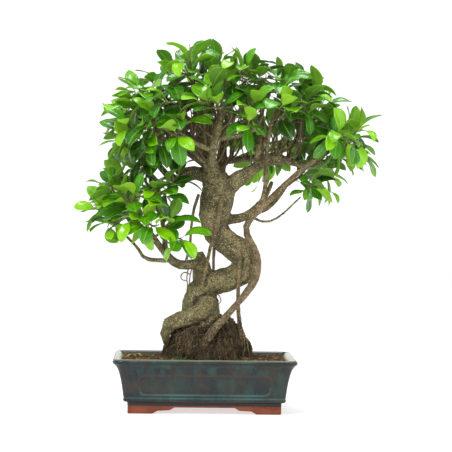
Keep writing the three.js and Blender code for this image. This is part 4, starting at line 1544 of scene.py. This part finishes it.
def make_foliage():
    """Every shoot: twigs along the CAD twigs, a modelled leaf on each CAD leaf, and side twigs between."""
    shoots = [read_shoot(node) for node in SHOOTS]
    for shoot in shoots:
        for leaf in shoot["leaves"]:
            shape = fitting_shape(leaf, 5) or leaf_shape(leaf)
            LEAF_SPACE.fill(blade_places(shape))
            add_leaf(shoot["heap"], shape, tone_for(leaf))
    for shoot in shoots:
        bark, normal, _ = bark_near(shoot["places"][0])
        lines = add_twigs(shoot["heap"], shoot["places"], bark - normal * 1.5 * MM)
        add_side_twigs(shoot, lines, SIDE_TWIG_TRIES)
    for shoot in shoots:
        name = shoot["node"].replace("leafy_shoot", "foliage")
        keep(shoot["heap"].piece(name, [LEAF_TOP, LEAF_UNDER, STALK, TWIG]), [shoot["node"]])


# ---- Camera, light and floor ------------------------------------------------------------------------

FLOOR_HALF = 13
BACKDROP_RADIUS = 12
BACKDROP_HEIGHTS = (-0.1, 4.5)
BACKDROP_TURNS = 96
SKY_LIGHT = 0.4
LIT_PLACE = (0, 0, 0.32)


def make_stage():
    """A floor, a round backdrop and even light from the sky."""
    half = FLOOR_HALF
    corners = [(-half, -half, 0), (half, -half, 0), (half, half, 0), (-half, half, 0)]
    white = studio_material("studio_floor", (202, 202, 202), (204, 204, 204), 0.62)
    floor = add_mesh("floor", corners, [[0, 1, 2, 3]], [white])
    floor.location.z = CAD_BOX[0].z - 0.0002
    turns = [2 * math.pi * i / BACKDROP_TURNS for i in range(BACKDROP_TURNS)]
    points = [
        (BACKDROP_RADIUS * math.cos(turn), BACKDROP_RADIUS * math.sin(turn), z)
        for z in BACKDROP_HEIGHTS
        for turn in turns
    ]
    paper = studio_material("studio_paper", (150, 150, 150), (154, 154, 154), 0.9)
    add_mesh("backdrop", points, ring_faces(2, BACKDROP_TURNS), [paper])
    world = bpy.data.worlds.new("studio")
    bpy.context.scene.world = world
    world.use_nodes = True
    sky = world.node_tree.nodes["Background"]
    sky.inputs["Color"].default_value = (1, 1, 1, 1)
    sky.inputs["Strength"].default_value = SKY_LIGHT


def make_light(name, place, size, power):
    """A rectangular lamp that faces the middle of the tree."""
    data = bpy.data.lights.new(name, "AREA")
    data.shape = "RECTANGLE"
    data.size, data.size_y = size
    data.energy = power
    light = bpy.data.objects.new(name, data)
    light.location = place
    light.rotation_euler = (Vector(LIT_PLACE) - Vector(place)).to_track_quat("-Z", "Y").to_euler()
    bpy.context.scene.collection.objects.link(light)


# The photo's camera, placed by the pot's rim, base and feet: its place off the pot's middle in metres, and
# its turns in degrees.
CAMERA_OFFSET = (-0.061, -3.2325)
CAMERA_HEIGHT = 0.330
CAMERA_TURNS = (("Z", -1.65), ("X", 90 - 0.70), ("Z", 0.7))
CAMERA_LENS = 162.6


def make_camera():
    data = bpy.data.cameras.new("camera")
    data.sensor_width = 36
    data.lens = CAMERA_LENS
    data.clip_end = 100
    camera = bpy.data.objects.new("camera", data)
    aside, back = CAMERA_OFFSET
    camera.location = (POT_MIDDLE.x + aside, POT_MIDDLE.y + back, CAMERA_HEIGHT)
    rotation = Matrix.Identity(4)
    for axis, degrees in CAMERA_TURNS:
        rotation = rotation @ Matrix.Rotation(math.radians(degrees), 4, axis)
    camera.rotation_euler = rotation.to_euler()
    bpy.context.scene.collection.objects.link(camera)
    bpy.context.scene.camera = camera


# ---- Small things on the soil -----------------------------------------------------------------------

def make_fallen(node, material):
    """A fallen leaf in the place of its CAD leaf, with its base and tip at the two farthest corners."""
    corners = [Vector(p) for p in welded(node)[0]]
    middle = sum(corners, Vector()) / len(corners)
    far = max(corners, key=lambda p: (p - middle).length)
    base = max(corners, key=lambda p: (p - far).length)
    along = (far - base).normalized()
    length = (far - base).length
    up = (Vector((0, 0, 1)) - along * along.z).normalized()
    heap = Heap()
    add_leaf(heap, leaf_shape(Leaf(base, along, up, length, length * 0.46)), 0.5, (0, 0, 0))
    piece = heap.piece(node.replace("fallen_leaf", "yellow_leaf"), [material])
    return keep(piece, [node])


SEEDLINGS = 46


def make_weed(material):
    """A tuft of moss-like seedlings near the front of the pot, each a stem with one leaf."""
    low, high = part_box("weed_sprig")
    middle = (low + high) / 2
    heap = Heap()
    for _ in range(SEEDLINGS):
        angle, reach = rng.uniform(0, 6.28), rng.uniform(0, 1) ** 0.7
        x = middle.x + math.cos(angle) * reach * (high.x - low.x) * 0.48
        y = middle.y + math.sin(angle) * reach * (high.y - low.y) * 0.48
        root = Vector((x, y, ground(x, y) - 0.5 * MM))
        lean = Vector((math.cos(angle) * 0.5, math.sin(angle) * 0.5, 1)).normalized()
        tall = rng.uniform(3, 8.5) * MM
        tip = root + lean * tall
        bend = Vector((rng.uniform(-1, 1), rng.uniform(-1, 1), 0)) * 1.2 * MM
        line = through([root, root + lean * tall * 0.5 + bend, tip], 1.5 * MM)
        heap.add(*tube(line, [0.3 * MM] * len(line), 5), tone=0.4)
        along = (lean + Vector((math.cos(angle), math.sin(angle), 0)) * 0.8).normalized()
        side = along.cross(Vector((0, 0, 1))).normalized()
        size = rng.uniform(2.2, 4.2) * MM
        middle_of_leaf, half = tip + along * size * 0.5, side * size * 0.28
        leaf = [tip, middle_of_leaf + half, tip + along * size, middle_of_leaf - half]
        over = side.cross(along) * 0.12 * MM
        body = [p + over for p in leaf] + [p - over for p in leaf]
        heap.add(body, [[3, 2, 1, 0], [4, 5, 6, 7], *ring_faces(2, 4)], tone=rng.random())
    return keep(heap.piece("weed_tuft", [material]), ["weed_sprig"])


# ---- Building ---------------------------------------------------------------------------------------

make_camera()
make_stage()
make_light("key", (-1.4, -2.4, 2.7), size=(1.1, 0.9), power=74)
make_light("fill", (2.4, -2.4, 1.2), size=(1.6, 1.4), power=16)
make_light("top", (0.3, 0.4, 2.6), size=(1.2, 1.2), power=40)

keep(make_pot(), ["pot"])
keep(make_feet(), ["pot"])
make_screen("screen_left", "drain_screen_left")
make_screen("screen_right", "drain_screen_right")
make_soil()
mound = make_mound()

limb_form = {"voxel": 1.5 * MM, "swell": 0.35 * MM, "bumps": (2.0, 0.7, 0.35, 0.15)}
root_form = {"voxel": 0.95 * MM, "swell": 0.25 * MM, "bumps": (1.2, 1.4, 0.2, 0.6)}
wood = make_wood("trunk_and_limbs", LIMBS, "bark", BARK, **limb_form)
roots = [make_wood(node + "_skin", [node], "aerial_root", ROOT_BARK, **root_form) for node in AERIAL_ROOTS]
press_fold(wood, FOLD)
make_rootlets(mound, roots)
make_tendrils()
WOOD_TREES = [surface_tree([piece]) for piece in [wood, *roots]]
make_foliage()
make_inner_twigs(wood)

yellow = fallen_material()
make_fallen("fallen_leaf_1", yellow)
make_fallen("fallen_leaf_2", yellow)
make_weed(weed_material())

bpy.context.scene.view_settings.view_transform = "Standard"
